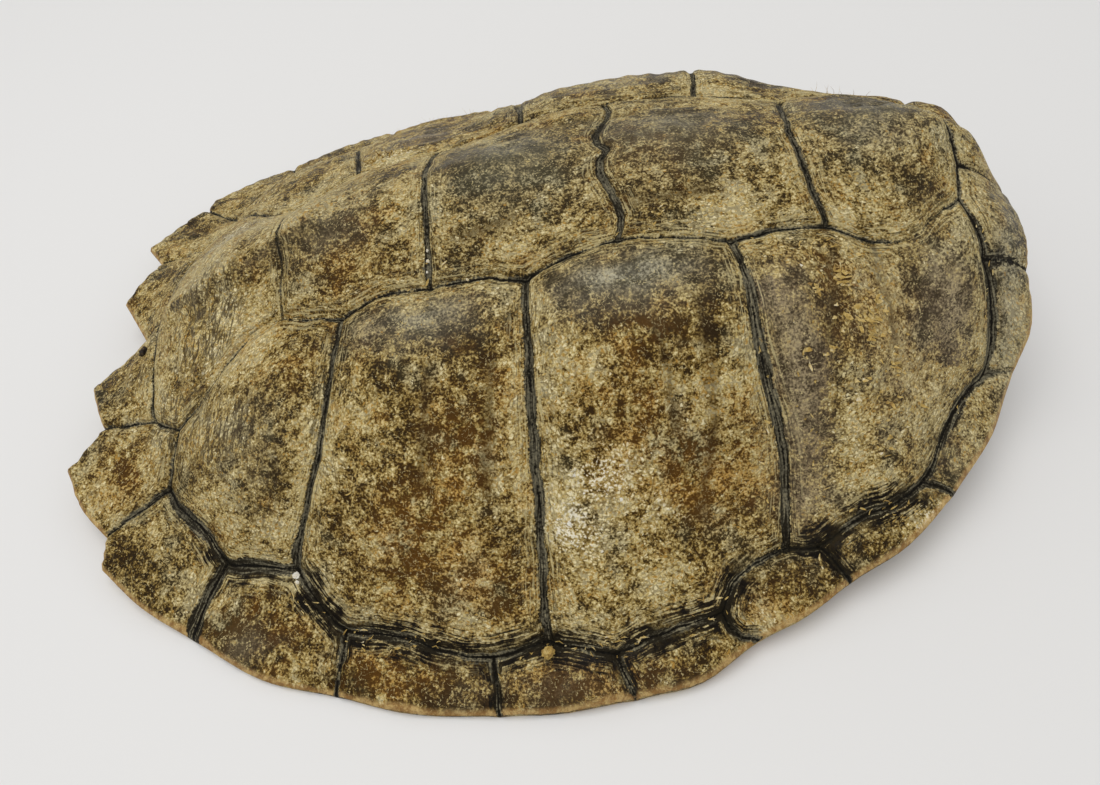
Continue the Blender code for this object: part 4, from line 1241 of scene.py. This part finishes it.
def crumbs(ground):
    """The knob of horn in the gutter, the white chips and the dark chip in the rear notch."""
    dice = random.Random(11)
    parts = []
    for x, y, width, height, tint in CRUMBS:
        bm = bmesh.new()
        bmesh.ops.create_icosphere(bm, subdivisions=4, radius=0.5)
        seed = Vector((x, y, 0))
        for vert in bm.verts:
            vert.co *= 1 + 0.32 * noise.fractal(vert.co * 3.4 + seed, 0.6, 2.0, 4)
        bmesh.ops.scale(bm, vec=(width, width * dice.uniform(0.7, 1.0), height), verts=bm.verts)
        laid_on(bm, ground, x, y, dice.uniform(0, 3), 0.0, -height * 0.25)
        parts.append((bm, tint))
    return gathered(parts, "crumbs")


def plain_finish(name, colour, roughness):
    material, shader, _, _ = new_finish(name)
    shader.inputs["Base Color"].default_value = rgba(*colour)
    shader.inputs["Roughness"].default_value = roughness
    return material


def floor():
    bm = bmesh.new()
    bmesh.ops.create_grid(bm, x_segments=1, y_segments=1, size=3.0)
    mesh = bpy.data.meshes.new("floor")
    bm.to_mesh(mesh)
    bm.free()
    mesh.materials.append(plain_finish("pale table", (0.79, 0.785, 0.775), 0.6))
    shown("floor", mesh)


# The camera stands over the shell's right side and is tilted a little.
CAMERA_AT = Vector((16.44, -208.53, 234.51)) * MM
CAMERA_LOOKS_AT = Vector((7.60, -60.50, 40.0)) * MM
CAMERA_ROLL = math.radians(-7.925)
CAMERA_LENS = 26.762

# A soft room, and one broad window above that the shell's shadow comes from.
ROOM_BRIGHTNESS = 0.61
WINDOW_AT = Vector((-0.2, 0.02, 1.25))
WINDOW_SIZE = 1.0
WINDOW_POWER = 7.4


def camera():
    data = bpy.data.cameras.new("camera")
    data.sensor_width = 36.0
    data.lens = CAMERA_LENS
    data.clip_start = 0.01
    obj = shown("camera", data)
    forward = (CAMERA_LOOKS_AT - CAMERA_AT).normalized()
    turned = forward.to_track_quat("-Z", "Y").to_matrix() @ Matrix.Rotation(CAMERA_ROLL, 3, "Z")
    obj.matrix_world = Matrix.Translation(CAMERA_AT) @ turned.to_4x4()
    bpy.context.scene.camera = obj


def lights():
    world = bpy.data.worlds.new("studio")
    world.use_nodes = True
    background = world.node_tree.nodes["Background"]
    background.inputs["Color"].default_value = rgba(1.0, 1.0, 0.995)
    background.inputs["Strength"].default_value = ROOM_BRIGHTNESS
    bpy.context.scene.view_settings.view_transform = "Standard"
    bpy.context.scene.world = world
    data = bpy.data.lights.new("window", "AREA")
    data.size = WINDOW_SIZE
    data.energy = WINDOW_POWER
    data.color = (1.0, 0.99, 0.985)
    obj = shown("window", data)
    obj.location = WINDOW_AT
    obj.rotation_euler = WINDOW_AT.to_track_quat("Z", "Y").to_euler()


camera()
shell, middle = carapace()
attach(shell, "root")
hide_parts("carapace")
skin = shell.data
ground = BVHTree.FromPolygons([v.co for v in skin.vertices], [p.vertices for p in skin.polygons]), middle
for piece in (loose_scales(ground), bristles(ground), crumbs(ground)):
    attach(piece, "root")
floor()
lights()
